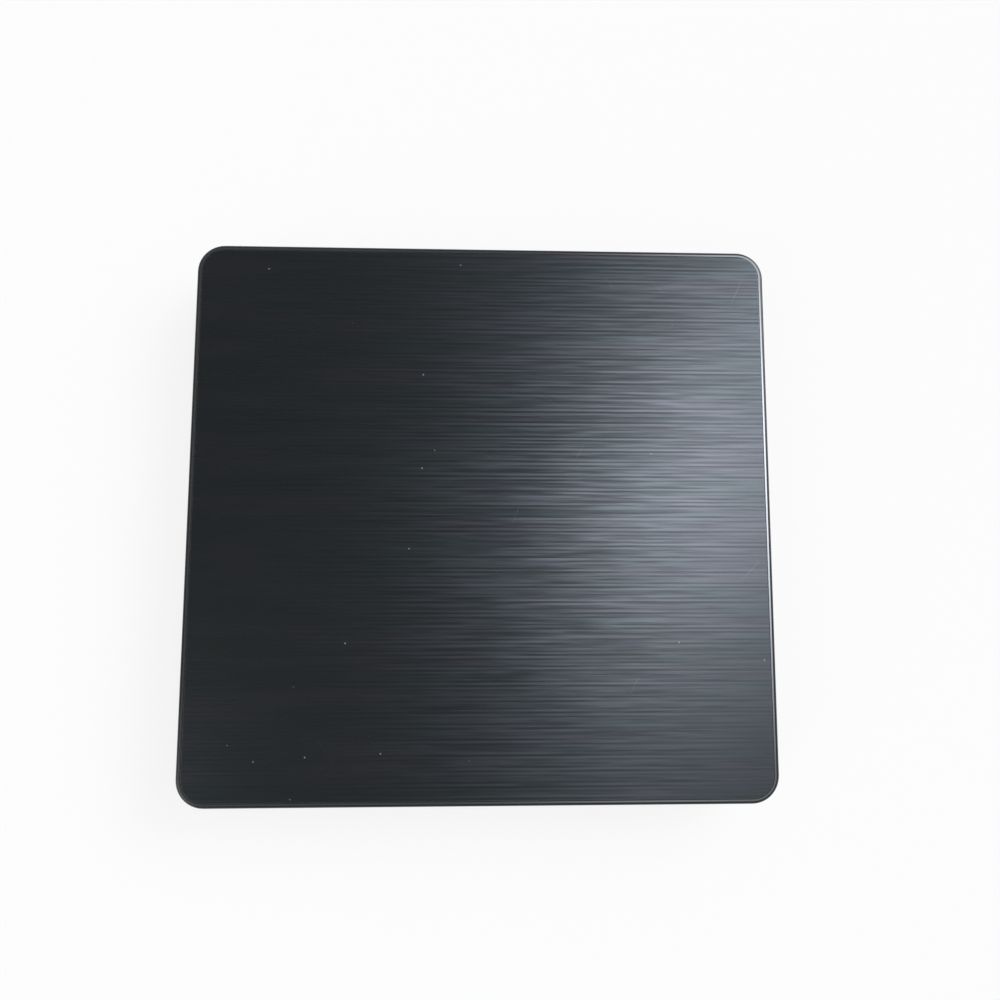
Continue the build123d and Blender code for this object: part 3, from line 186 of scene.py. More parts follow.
def dot(tree, direction, axis):
    """How far a direction goes along an axis."""
    inputs = {0: direction, 1: axis}
    return add(tree, "VectorMath", inputs, operation="DOT_PRODUCT").outputs["Value"]


def object_place(tree):
    """The place on the piece, in metres in the object's own frame."""
    return add(tree, "TexCoord").outputs["Object"]


def coordinates(tree):
    """X, Y and Z of the place on the piece."""
    return add(tree, "SeparateXYZ", {"Vector": object_place(tree)}).outputs


def scaled(tree, place, stretch):
    """A place with each axis multiplied by its own number."""
    return add(tree, "VectorMath", {0: place, 1: stretch}, operation="MULTIPLY").outputs[0]


def chances(tree, cells):
    """Three random numbers of each cell of a cell texture."""
    return add(tree, "SeparateColor", {"Color": cells.outputs["Color"]}).outputs


def sharpened(tree, value, contrast):
    """A value whose distance from one half is multiplied by a contrast, kept from 0 to 1."""
    centred = calc(tree, "SUBTRACT", value, 0.5)
    return calc(tree, "ADD", times(tree, centred, contrast), 0.5, clamp=True)


def effect_group(name, inputs, outputs):
    """An empty node group with named number or vector inputs and number outputs."""
    tree = bpy.data.node_groups.new(name, "ShaderNodeTree")
    for label, value in inputs.items():
        kind = "NodeSocketVector" if isinstance(value, tuple) else "NodeSocketFloat"
        socket = tree.interface.new_socket(label, in_out="INPUT", socket_type=kind)
        socket.default_value = value
    for label in outputs:
        tree.interface.new_socket(label, in_out="OUTPUT", socket_type="NodeSocketFloat")
    return tree, tree.nodes.new("NodeGroupInput").outputs, tree.nodes.new("NodeGroupOutput").inputs


def brushed_lines_group():
    """Lines drawn out along one axis: a long and a short noise, added and sharpened."""
    inputs = {"Stretch": sheet_lines, "Contrast": 1.0}
    tree, given, made = effect_group("brushed_lines", inputs, ("Lines", "Bands"))
    long_place = scaled(tree, object_place(tree), given["Stretch"])
    short_place = scaled(tree, long_place, (3.0, 2.2, 2.2))
    wide_place = scaled(tree, long_place, (0.5, 0.12, 0.12))
    long_lines = times(tree, noise(tree, long_place, 1.0, 1.0), 0.5)
    short_lines = times(tree, noise(tree, short_place, 1.0, 1.0), 0.5)
    both = calc(tree, "ADD", long_lines, short_lines)
    tree.links.new(sharpened(tree, both, given["Contrast"]), made["Lines"])
    tree.links.new(noise(tree, wide_place, 1.0, 1.0), made["Bands"])
    return tree


def straight_grooves_group():
    """Straight lines along X, in sets of rows that are light and dark by turns.

    Each row's strength is a noise along X, so that it fades in and out.
    """
    inputs = {"Pitch": 0.0006, "Length": 0.03, "Contrast": 2.0}
    tree, given, made = effect_group("straight_grooves", inputs, ("Lines", "Bands"))
    x, y, _ = coordinates(tree)
    lengths = calc(tree, "DIVIDE", x, given["Length"])
    rows = calc(tree, "DIVIDE", y, given["Pitch"])
    total = 0.5
    for fineness, weight in groove_sets:
        row = calc(tree, "FLOOR", times(tree, rows, fineness))
        axes = {0: times(tree, lengths, fineness), 1: times(tree, row, row_distance), 2: fineness}
        place = add(tree, "CombineXYZ", axes).outputs[0]
        strength = remap(tree, noise(tree, place, 1.0, 1.0), *row_strength)
        turn = calc(tree, "SUBTRACT", calc(tree, "FLOORED_MODULO", row, 2.0), 0.5)
        value = times(tree, turn, strength)
        total = calc(tree, "ADD", times(tree, value, weight), total)
    tree.links.new(sharpened(tree, total, given["Contrast"]), made["Lines"])
    axes = {0: times(tree, lengths, 0.5), 1: times(tree, rows, 0.12)}
    wide_place = add(tree, "CombineXYZ", axes).outputs[0]
    tree.links.new(noise(tree, wide_place, 1.0, 1.0), made["Bands"])
    return tree


def moulded_grain_group():
    """Fine spark-eroded grain of a mould, and the slow drift of its gloss."""
    tree, given, made = effect_group("moulded_grain", {"Size": 0.0002}, ("Grain", "Drift"))
    place = object_place(tree)
    scale = calc(tree, "DIVIDE", 1.0, given["Size"])
    tree.links.new(noise(tree, place, scale, 3.0, 0.65), made["Grain"])
    tree.links.new(noise(tree, place, times(tree, scale, 0.012), 2.0), made["Drift"])
    return tree


def dust_group():
    """Small round specks in a share of scattered cells, where the surface cuts a cell's middle."""
    inputs = {"Spacing": 0.003, "Radius": 0.07, "Share": 0.2}
    tree, given, made = effect_group("dust", inputs, ("Specks",))
    place = object_place(tree)
    scale = calc(tree, "DIVIDE", 1.0, given["Spacing"])
    cells = add(tree, "TexVoronoi", {"Vector": place, "Scale": scale})
    wobble = noise(tree, place, times(tree, scale, 12.0))
    edge = times(tree, given["Radius"], calc(tree, "ADD", wobble, 0.5))
    inside = calc(tree, "LESS_THAN", cells.outputs["Distance"], edge)
    chosen = calc(tree, "LESS_THAN", chances(tree, cells)[0], given["Share"])
    tree.links.new(times(tree, inside, chosen), made["Specks"])
    return tree


def scratches_group():
    """Hairlines on level faces: one in each kept cell, turned its own way, with faded ends."""
    inputs = {"Spacing": 0.012, "Length": 0.005, "Width": 0.00005, "Share": 0.5}
    tree, given, made = effect_group("scratches", inputs, ("Marks",))
    place = object_place(tree)
    scale = calc(tree, "DIVIDE", 1.0, given["Spacing"])
    cells = add(tree, "TexVoronoi", {"Vector": place, "Scale": scale})
    chance = chances(tree, cells)
    ends = {0: place, 1: cells.outputs["Position"]}
    offset = add(tree, "VectorMath", ends, operation="SUBTRACT").outputs[0]
    turning = {"Vector": offset, "Angle": times(tree, chance[0], math.pi)}
    turned = add(tree, "VectorRotate", turning, rotation_type="Z_AXIS").outputs[0]
    along, across, _ = add(tree, "SeparateXYZ", {"Vector": turned}).outputs
    thin = calc(tree, "LESS_THAN", calc(tree, "ABSOLUTE", across), given["Width"])
    share_of_length = calc(tree, "DIVIDE", calc(tree, "ABSOLUTE", along), given["Length"])
    fade = calc(tree, "SUBTRACT", 1.0, share_of_length, clamp=True)
    chosen = calc(tree, "LESS_THAN", chance[1], given["Share"])
    line = times(tree, times(tree, thin, fade), times(tree, chosen, chance[2]))
    tree.links.new(line, made["Marks"])
    return tree


brushed_lines = brushed_lines_group()
straight_grooves = straight_grooves_group()
moulded_grain = moulded_grain_group()
dust = dust_group()
scratches = scratches_group()


def effect(tree, group, **values):
    """Places an effect group in a material with its own values."""
    node = tree.nodes.new("ShaderNodeGroup")
    node.node_tree = group
    for name, value in values.items():
        node.inputs[name.replace("_", " ").title()].default_value = value
    return node.outputs


def new_material(name):
    """An empty node material and its tree."""
    material = bpy.data.materials.new(name)
    material.use_nodes = True
    material.node_tree.nodes.clear()
    return material, material.node_tree


def show(tree, shader, kind="Material"):
    """Ends a material, or a world, with its last shader."""
    output = tree.nodes.new("ShaderNodeOutput" + kind)
    tree.links.new(shader.outputs[0], output.inputs["Surface"])


def close(tree, inputs):
    """Ends a material with the Principled shader."""
    show(tree, add(tree, "BsdfPrincipled", inputs))


def bump(tree, height, distance, strength=1.0):
    """The normal of a height worked into the surface, with its depth in metres."""
    inputs = {"Height": height, "Distance": distance, "Strength": strength}
    return add(tree, "Bump", inputs).outputs[0]


def shade(colour, factor):
    """A colour made lighter or darker, as red, green, blue and 1."""
    return tuple(channel * factor for channel in colour[:3]) + (1,)


def grained(tree, grain, low, high):
    """A value that follows the grain from low to high."""
    return remap(tree, grain["Grain"], *noise_middle, low, high)


def drifting(tree, grain, colour, dark, light):
    """A colour that drifts slowly between a darker and a lighter shade of itself."""
    share = remap(tree, grain["Drift"], *noise_middle)
    return blend_colour(tree, share, shade(colour, dark), shade(colour, light))


def lacquered_film(name, cool, warm, groove_tilt=0.07):
    """Dark film of two near tints under lacquer, whose grooves each lean their own way along X."""
    material, tree = new_material(name)
    lines = effect(tree, straight_grooves, pitch=0.00062, length=0.024, contrast=2.2)
    specks = effect(tree, dust, spacing=0.003, radius=0.065, share=0.08)["Specks"]
    marks = effect(tree, scratches, spacing=0.014, length=0.006, width=0.00004, share=0.25)["Marks"]
    tilt = times(tree, calc(tree, "SUBTRACT", lines["Lines"], 0.5), groove_tilt)
    level = add(tree, "NewGeometry").outputs["Normal"]
    lean = add(tree, "CombineXYZ", {0: tilt}).outputs[0]
    facet = add(tree, "VectorMath", {0: level, 1: lean}, operation="ADD").outputs[0]
    line_light = remap(tree, lines["Lines"], 0.0, 1.0, 0.78, 1.22)
    band_light = remap(tree, lines["Bands"], *noise_middle, 0.96, 1.04)
    tint = blend_colour(tree, remap(tree, lines["Bands"], 0.35, 0.65), cool, warm)
    film = brightened(tree, tint, times(tree, line_light, band_light))
    marked = blend_colour(tree, times(tree, marks, 0.35), film, film_scratch)
    dusted = blend_colour(tree, times(tree, specks, 0.6), marked, film_dust)
    metallic = 0.92
    close(tree, {
        "Base Color": dusted,
        "Metallic": calc(tree, "SUBTRACT", metallic, times(tree, specks, metallic)),
        "Roughness": remap(tree, lines["Lines"], 0.0, 1.0, 0.395, 0.285),
        "Anisotropic": 0.30,
        "Tangent": add(tree, "Tangent", direction_type="RADIAL", axis="X").outputs[0],
        "Normal": add(tree, "VectorMath", {0: facet}, operation="NORMALIZE").outputs[0],
        "Coat Weight": 1.0,
        "Coat Roughness": 0.08,
        "Coat IOR": 1.30,
    })
    return material


def gloss_plastic(name, colour, roughness=0.16, index=1.50, crest=None):
    """Gloss moulding with a faint ripple and dust, and a painted highlight: a light metallic band above a crest
    height.
    """
    material, tree = new_material(name)
    grain = effect(tree, moulded_grain, size=0.0011)
    specks = effect(tree, dust, spacing=0.003, radius=0.050, share=0.12)["Specks"]
    tone = blend_colour(tree, grain["Drift"], shade(colour, 0.85), shade(colour, 1.15))
    dusted = blend_colour(tree, times(tree, specks, 0.4), tone, gloss_dust)
    inputs = {
        "Base Color": dusted,
        "Roughness": remap(tree, grain["Drift"], *noise_middle, roughness, roughness + 0.10),
        "Normal": bump(tree, grain["Grain"], 0.003 * MM),
        "IOR": index,
    }
    # Painted highlight: a thin light metallic band along the very top of the rim
    if crest:
        height = coordinates(tree)[2]
        film = remap(tree, height, crest - 0.006 * MM, crest - 0.001 * MM)
        inputs["Base Color"] = blend_colour(tree, film, dusted, crest_highlight_colour)
        inputs["Metallic"] = times(tree, film, 0.9)
    close(tree, inputs)
    return material


def satin_plastic(name, colour, grain_size=0.0002, depth=0.012, roughness=0.46, translucent=0.0):
    """Moulded plastic with fine grain, uneven gloss and settled dust."""
    material, tree = new_material(name)
    grain = effect(tree, moulded_grain, size=grain_size)
    specks = effect(tree, dust, spacing=0.003, radius=0.045, share=0.12)["Specks"]
    drift = remap(tree, grain["Drift"], *noise_middle)
    fine = remap(tree, grain["Grain"], 0.25, 0.75)
    tone = blend_colour(tree, drift, shade(colour, 0.88), shade(colour, 1.12))
    pitted = blend_colour(tree, times(tree, fine, 0.4), tone, shade(colour, 1.35))
    dusted = blend_colour(tree, times(tree, specks, 0.4), pitted, satin_dust)
    inputs = {
        "Base Color": dusted,
        "Roughness": calc(tree, "ADD", roughness, times(tree, drift, 0.12)),
        "Normal": bump(tree, grain["Grain"], depth * MM),
        "IOR": 1.49,
    }
    if translucent:
        inputs.update({"Subsurface Weight": translucent, "Subsurface Scale": 0.6 * MM})
    close(tree, inputs)
    return material


def rubber(name, colour, grain_size=0.00035, dusty=0.25):
    """Soft matt rubber with an open grain and a bloom of dust."""
    material, tree = new_material(name)
    grain = effect(tree, moulded_grain, size=grain_size)
    bloom = remap(tree, grain["Drift"], 0.35, 0.75, 0.0, dusty)
    tone = blend_colour(tree, grained(tree, grain, 0, 1), shade(colour, 0.75), shade(colour, 1.25))
    close(tree, {
        "Base Color": blend_colour(tree, bloom, tone, rubber_dust),
        "Roughness": grained(tree, grain, 0.72, 0.88),
        "Normal": bump(tree, grain["Grain"], 0.03 * MM),
        "IOR": 1.45,
    })
    return material


def rolled_metal(name, colour, stretch=sheet_lines, roughness=0.30, spangle=0.0, depth=0.002):
    """Sheet or drawn metal with rolling lines, handling marks and, if galvanised, spangle."""
    material, tree = new_material(name)
    lines = effect(tree, brushed_lines, stretch=stretch, contrast=2.2)
    marks = effect(tree, scratches, spacing=0.007, length=0.0035, width=0.00003, share=0.6)["Marks"]
    level = remap(tree, lines["Lines"], 0.0, 1.0, 0.86, 1.12)
    metal = brightened(tree, colour[:3], level)
    if spangle:
        cells = add(tree, "TexVoronoi", {"Vector": object_place(tree), "Scale": 170.0})
        crystal = chances(tree, cells)[1]
        metal = blend_colour(tree, times(tree, crystal, spangle), metal, shade(colour, 0.55))
    worn = blend_colour(tree, times(tree, marks, 0.35), metal, shade(colour, 1.3))
    close(tree, {
        "Base Color": worn,
        "Metallic": 1.0,
        "Roughness": remap(tree, lines["Lines"], 0.0, 1.0, roughness - 0.06, roughness + 0.08),
        "Normal": bump(tree, lines["Lines"], depth * MM),
    })
    return material


def polished_metal(name, colour, roughness=0.10):
    """Ground or plated metal with faint turning lines and a film of grease."""
    material, tree = new_material(name)
    lines = effect(tree, brushed_lines, stretch=(2500.0, 2500.0, 2500.0), contrast=1.6)
    grain = effect(tree, moulded_grain, size=0.0009)
    tone = drifting(tree, grain, colour, 0.86, 1.08)
    close(tree, {
        "Base Color": tone,
        "Metallic": 1.0,
        "Roughness": grained(tree, grain, roughness, roughness + 0.12),
        "Normal": bump(tree, lines["Lines"], 0.0012 * MM),
    })
    return material


def cast_metal(name, colour):
    """Die-cast metal: soft mottled skin with a fine pebble."""
    material, tree = new_material(name)
    grain = effect(tree, moulded_grain, size=0.00045)
    tone = drifting(tree, grain, colour, 0.78, 1.1)
    close(tree, {
        "Base Color": tone,
        "Metallic": 1.0,
        "Roughness": grained(tree, grain, 0.38, 0.55),
        "Normal": bump(tree, grain["Grain"], 0.02 * MM),
    })
    return material


def coated_sheet(name, colour):
    """Painted sheet: fine orange peel over steel, with light rubbing."""
    material, tree = new_material(name)
    grain = effect(tree, moulded_grain, size=0.0004)
    marks = effect(tree, scratches, spacing=0.008, length=0.004, width=0.00003, share=0.5)["Marks"]
    tone = drifting(tree, grain, colour, 0.9, 1.12)
    rubbed = blend_colour(tree, times(tree, marks, 0.25), tone, rubbed_paint)
    close(tree, {
        "Base Color": rubbed,
        "Metallic": 0.15,
        "Roughness": grained(tree, grain, 0.34, 0.48),
        "Normal": bump(tree, grain["Grain"], 0.008 * MM),
    })
    return material


def wound_wire(name, colour, turn_pitch=0.00016):
    """Enamelled copper turns, with painted shade between them and a faint painted highlight on their crowns."""
    material, tree = new_material(name)
    scale = 1.0 / turn_pitch / wave_rate
    inputs = {"Vector": object_place(tree), "Scale": scale, "Distortion": 0.6}
    turns = add(tree, "TexWave", inputs, wave_type="BANDS", bands_direction="X").outputs[0]
    close(tree, {
        # Painted shade between the turns, and a faint painted highlight on their crowns
        "Base Color": blend_colour(tree, turns, shade(colour, 0.35), shade(colour, 1.1)),
        "Metallic": 0.9,
        "Roughness": remap(tree, turns, 0.0, 1.0, 0.5, 0.26),
        "Normal": bump(tree, turns, 0.03 * MM),
        "Coat Weight": 0.6,
        "Coat Roughness": 0.2,
    })
    return material


def circuit_board(name, colour):
    """Green solder mask over copper: square-cornered traces, round lands, and painted shade for small plated
    holes.
    """
    material, tree = new_material(name)
    place = object_place(tree)
    blocks = add(
        tree, "TexVoronoi", {"Vector": place, "Scale": 520.0, "Randomness": 0.85},
        feature="F1", distance="CHEBYCHEV",
    )
    ring = calc(tree, "FRACT", times(tree, blocks.outputs["Distance"], 3.0))
    trace = calc(tree, "GREATER_THAN", ring, 0.55)
    lands = add(tree, "TexVoronoi", {"Vector": place, "Scale": 330.0, "Randomness": 0.9})
    dots = lands.outputs["Distance"]
    land = calc(tree, "LESS_THAN", dots, 0.17)
    # Painted shade: the small holes are not cut, only drawn dark
    hole = calc(tree, "LESS_THAN", dots, 0.08)
    masked = blend_colour(tree, trace, shade(colour, 0.75), shade(colour, 1.7))
    plated = blend_colour(tree, land, masked, land_gold)
    close(tree, {
        "Base Color": blend_colour(tree, hole, plated, hole_shade),
        "Metallic": times(tree, calc(tree, "SUBTRACT", land, hole), 0.85),
        "Roughness": remap(tree, trace, 0.0, 1.0, 0.34, 0.28),
        "Normal": bump(tree, calc(tree, "ADD", trace, land), 0.02 * MM),
        "Coat Weight": 0.3,
    })
    return material


def printed_film(name, colour, line_pitch=0.00062):
    """White film with tinned conductors that show through as grey lines along it."""
    material, tree = new_material(name)
    phase = calc(tree, "FRACT", calc(tree, "DIVIDE", coordinates(tree)[0], line_pitch))
    from_middle = calc(tree, "ABSOLUTE", calc(tree, "SUBTRACT", phase, 0.5))
    wire = calc(tree, "GREATER_THAN", from_middle, 0.22)
    grain = effect(tree, moulded_grain, size=0.0006)
    film = drifting(tree, grain, colour, 0.92, 1.04)
    close(tree, {
        "Base Color": blend_colour(tree, times(tree, wire, 0.75), film, conductor_grey),
        "Roughness": grained(tree, grain, 0.28, 0.4),
        "Normal": bump(tree, wire, 0.02 * MM),
    })
    return material


def clear_plastic(name, colour, roughness=0.08, index=1.49):
    """Clear moulded plastic or glass, with faint flow marks inside its gloss."""
    material, tree = new_material(name)
    grain = effect(tree, moulded_grain, size=0.0008)
    close(tree, {
        "Base Color": blend_colour(tree, grain["Drift"], shade(colour, 0.95), shade(colour, 1.0)),
        "Roughness": grained(tree, grain, roughness, roughness + 0.05),
        "Normal": bump(tree, grain["Grain"], 0.002 * MM),
        "Transmission Weight": 0.9,
        "IOR": index,
    })
    return material


def foam(name, colour):
    """Closed-cell foam with open pores on its cut faces, darkened by painted shade."""
    material, tree = new_material(name)
    cells = add(tree, "TexVoronoi", {"Vector": object_place(tree), "Scale": 2600.0})
    pores = cells.outputs["Distance"]
    close(tree, {
        # Painted shade: darker towards the middle of each pore
        "Base Color": blend_colour(tree, pores, shade(colour, 0.6), shade(colour, 1.3)),
        "Roughness": remap(tree, pores, 0.0, 1.0, 0.8, 0.95),
        "Normal": bump(tree, pores, 0.1 * MM),
    })
    return material


# The record's material slots. After the colour come:
# for gloss plastic, roughness and index of refraction;
# for satin plastic, grain in metres, its depth in millimetres, roughness and translucence;
# for rubber, grain in metres and dustiness; for polished metal, roughness;
# for rolled metal, how finely lines divide each axis, and roughness
finishes = {
    "gloss_shell": gloss_plastic(
        "shell_gloss", (0.013, 0.014, 0.015), 0.07, 1.34, crest=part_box("top_cover")[1].z
    ),
    "brushed_plate": lacquered_film(
        "lacquered_film", cool=(0.069, 0.084, 0.086, 1), warm=(0.077, 0.083, 0.091, 1)
    ),
    "black_shell": satin_plastic("shell_satin", (0.020, 0.021, 0.022), 0.00030, 0.020, 0.50),
    "tray_plastic": satin_plastic("tray_satin", (0.019, 0.0195, 0.020), 0.00022, 0.014, 0.42),
    "bezel_gloss": gloss_plastic("bezel_gloss", (0.014, 0.015, 0.016), 0.12),
    "foot_rubber": rubber("foot_rubber", (0.028, 0.028, 0.028)),
    "damper_rubber": rubber("damper_rubber", (0.022, 0.022, 0.026), 0.0003, 0.1),
    "turntable_rubber": rubber("turntable_rubber", (0.040, 0.040, 0.041), 0.0002, 0.1),
    "pad_foam": foam("pad_foam", (0.075, 0.075, 0.078)),
    "screw_steel": polished_metal("zinc_plate", (0.56, 0.56, 0.55), 0.20),
    "black_screw": polished_metal("black_zinc", (0.06, 0.06, 0.062), 0.28),
    "pan_steel": rolled_metal("galvanised_sheet", (0.58, 0.59, 0.60), roughness=0.36, spangle=0.35),
    "deck_steel": rolled_metal("stamped_sheet", (0.52, 0.53, 0.54), roughness=0.32),
    "cover_steel": coated_sheet("coated_sheet", (0.034, 0.035, 0.038)),
    "rail_steel": rolled_metal("rail_steel", (0.62, 0.62, 0.63), rail_lines, 0.24),
    "guide_plastic": satin_plastic("guide_acetal", (0.70, 0.70, 0.67), 0.0003, 0.006, 0.38, 0.15),
    "holder_plastic": satin_plastic("holder_acetal", (0.030, 0.030, 0.031), 0.0003, 0.008, 0.36),
    "follower_plastic": satin_plastic(
        "follower_acetal", (0.74, 0.73, 0.69), 0.0003, 0.006, 0.36, 0.15
    ),
    "rod_steel": polished_metal("ground_rod", (0.68, 0.68, 0.70), 0.07),
    "motor_steel": polished_metal("nickel_plate", (0.64, 0.63, 0.61), 0.30),
    "stator_copper": wound_wire("stator_winding", (0.72, 0.34, 0.16)),
    "hub_plastic": satin_plastic("hub_acetal", (0.030, 0.030, 0.031), 0.00025, 0.006, 0.34),
    "claw_plastic": satin_plastic("claw_acetal", (0.52, 0.51, 0.47), 0.00025, 0.005, 0.34, 0.15),
    "sled_cast": cast_metal("die_cast", (0.50, 0.50, 0.51)),
    "sled_sheet": cast_metal("sled_sheet", (0.60, 0.60, 0.61)),
    "lens_plastic": satin_plastic("lens_polymer", (0.045, 0.045, 0.050), 0.0002, 0.006, 0.38),
    "lens_glass": clear_plastic("lens_glass", (0.55, 0.66, 0.95), 0.01, 1.60),
    "board_green": circuit_board("solder_mask", (0.016, 0.085, 0.036)),
    "chip_black": satin_plastic("chip_package", (0.022, 0.022, 0.024), 0.00012, 0.008, 0.55),
    "socket_plastic": satin_plastic("socket_nylon", (0.72, 0.68, 0.58), 0.0002, 0.006, 0.42, 0.1),
    "usb_steel": rolled_metal("tinned_shell", (0.66, 0.66, 0.66), rail_lines, 0.22),
    "usb_plastic": satin_plastic("tongue_nylon", (0.028, 0.028, 0.029), 0.0002, 0.006, 0.45),
    "button_gloss": gloss_plastic("button_gloss", (0.020, 0.021, 0.022), 0.16),
    "pipe_clear": satin_plastic("pipe_milky", (0.40, 0.45, 0.42), 0.0004, 0.003, 0.28, 0.3),
    "led_body": satin_plastic("lamp_resin", (0.78, 0.76, 0.68), 0.0002, 0.004, 0.30, 0.2),
    "coil_copper": wound_wire("solenoid_winding", (0.70, 0.32, 0.14)),
    "plunger_steel": rolled_metal("plunger_steel", (0.54, 0.54, 0.54), plunger_lines, 0.30),
    "lever_plastic": satin_plastic("lever_acetal", (0.70, 0.69, 0.66), 0.00025, 0.005, 0.36, 0.15),
    "post_steel": polished_metal("post_steel", (0.60, 0.60, 0.60), 0.18),
    "ejector_plastic": satin_plastic("ejector_nylon", (0.032, 0.032, 0.034), 0.00025, 0.008, 0.40),
    "spring_steel": polished_metal("spring_wire", (0.50, 0.50, 0.51), 0.20),
    "ribbon_film": printed_film("ribbon_film", (0.78, 0.80, 0.83)),
}
contact_gold = polished_metal("contact_gold", (0.80, 0.58, 0.22), 0.14)
for row in frame["record"]["subparts"]:
    for place in nodes[row["node"]].material_slots:
        place.material = finishes[row["material_slot"]]


def vertices_of(node):
    """A node's points as an array."""
    mesh = nodes[node].data
    points = np.empty(3 * len(mesh.vertices))
    mesh.vertices.foreach_get("co", points)
    return points.reshape(-1, 3)


def put(name, data):
    """A new object in the scene."""
    thing = bpy.data.objects.new(name, data)
    bpy.context.scene.collection.objects.link(thing)
    return thing


def shell(name, rings, material, capped=True):
    """A closed skin through rings of points, one after another, with a flat face on each end."""
    count, around, _ = rings.shape
    index = np.arange(count * around).reshape(count, around)
    after = np.roll(index, -1, axis=1)
    quads = np.stack([index[:-1], after[:-1], after[1:], index[1:]], axis=-1).reshape(-1, 4)
    faces = quads.tolist()
    if capped:
        faces += [index[0, ::-1].tolist(), index[-1].tolist()]
    mesh = bpy.data.meshes.new(name)
    mesh.from_pydata(rings.reshape(-1, 3).tolist(), [], faces)
    work = bmesh.new()
    work.from_mesh(mesh)
    bmesh.ops.recalc_face_normals(work, faces=work.faces)
    work.to_mesh(mesh)
    work.free()
    mesh.materials.append(material)
    mesh.shade_smooth()
    mesh.set_sharp_from_angle(angle=crease)
    return put(name, mesh)


def full_turn(steps):
    """Angles round a circle, in even steps."""
    return np.linspace(0, 2 * math.pi, steps, endpoint=False)


def unit(vector):
    """A vector made 1 long."""
    return vector / np.linalg.norm(vector)


def unit_rows(rows):
    """Rows of vectors, each made 1 long."""
    return rows / np.linalg.norm(rows, axis=1)[:, None]


def joint(name):
    """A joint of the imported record."""
    return next(row for row in frame["joints"] if row["name"] == name)


def threaded_screw():
    """Lead screw: at length s and angle a, its radius is the root's plus a rounded ridge.

    The ridge is highest where s / pitch - a is a whole turn, and runs out towards plain ends.
    """
    spin = joint("lead_screw_spin")
    axis = np.array(spin["axis"], float)
    centre = np.array(spin["pos_m"], float)
    points = vertices_of("lead_screw") - centre
    reach = points @ axis
    start, finish = reach.min(), reach.max()
    outer = np.linalg.norm(points - reach[:, None] * axis, axis=1).max()
    depth = 0.28 * MM
    pitch = 3.0 * MM
    plain_end = 2.6 * MM
    run_out = 1.0 * MM
    sharpness = 1.6
    sections = 420
    sides = 28
    up = np.array((0, 0, 1.0))
    side = np.cross(axis, up)
    along = np.linspace(start, finish, sections)[:, None]
    angle = full_turn(sides)[None, :]
    ridge = np.clip(0.5 + sharpness * np.cos(2 * math.pi * along / pitch - angle), 0, 1)
    from_end = np.minimum(along - start, finish - along)
    threaded = np.clip((from_end - plain_end) / run_out, 0, 1)
    radius = outer - depth * (1 - ridge) * threaded
    outward = np.cos(angle)[..., None] * side + np.sin(angle)[..., None] * up
    rings = centre + along[..., None] * axis + radius[..., None] * outward
    piece = shell("lead_screw_thread", rings, finishes["rod_steel"])
    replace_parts(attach(piece, "lead_screw"), "lead_screw")


def coil_winding():
    """Solenoid's coil: a tube between two flanges, a little thicker at the crown of each turn."""
    low, high = (np.array(corner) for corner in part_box("solenoid_coil"))
    centre = (low + high) / 2
    outer = (high[2] - low[2]) / 2
    length = high[0] - low[0]
    bore = 0.95 * MM
    flange = 0.5 * MM
    flange_height = 0.22 * MM
    crown_height = 0.10 * MM
    turns = 34
    steps_per_turn = 8
    sides = 32
    along = np.linspace(-length / 2, length / 2, steps_per_turn * turns)[:, None]
    angle = full_turn(sides)[None, :]
    crown = np.abs(np.cos(math.pi * turns * along / length - angle / 2))
    body = outer - flange_height + crown_height * crown
    radius = np.where(np.abs(along) > length / 2 - flange, outer, body)
    inner = np.full((1, angle.size), bore)
    radius = np.concatenate([inner, radius, inner])
    along = np.concatenate([along[:1], along, along[-1:]])
    axes = [along + 0 * angle, radius * np.cos(angle), radius * np.sin(angle)]
    rings = centre + np.stack(axes, axis=-1)
    tube = np.concatenate([rings, rings[:1]])
    piece = shell("solenoid_winding", tube, finishes["coil_copper"], capped=False)
    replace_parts(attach(piece, "tray"), "solenoid_coil")


def rounded_route(corners, radii, steps=10):
    """Points along straight runs joined by tangent arcs, one radius for each inner corner."""
    corners = [np.array(corner, float) for corner in corners]
    route = [corners[0]]
    for before, corner, beyond, radius in zip(corners, corners[1:], corners[2:], radii):
        first = unit(before - corner)
        second = unit(beyond - corner)
        half = math.acos(np.clip(first @ second, -1, 1)) / 2
        middle = corner + unit(first + second) * radius / math.sin(half)
        start = corner + first * radius / math.tan(half) - middle
        finish = corner + second * radius / math.tan(half) - middle
        turn = math.pi - 2 * half
        share = np.linspace(0, 1, steps)[:, None]
        arc = start * np.sin((1 - share) * turn) + finish * np.sin(share * turn)
        route += list(middle + arc / math.sin(turn))
    return np.array(route + [corners[-1]])


def evenly_filled(route, step):
    """A route with more points on its long runs, about a step apart."""
    filled = [route[0]]
    for start, finish in zip(route, route[1:]):
        steps = max(1, int(np.linalg.norm(finish - start) / step))
        filled += [start + (finish - start) * k / steps for k in range(1, steps + 1)]
    return np.array(filled)


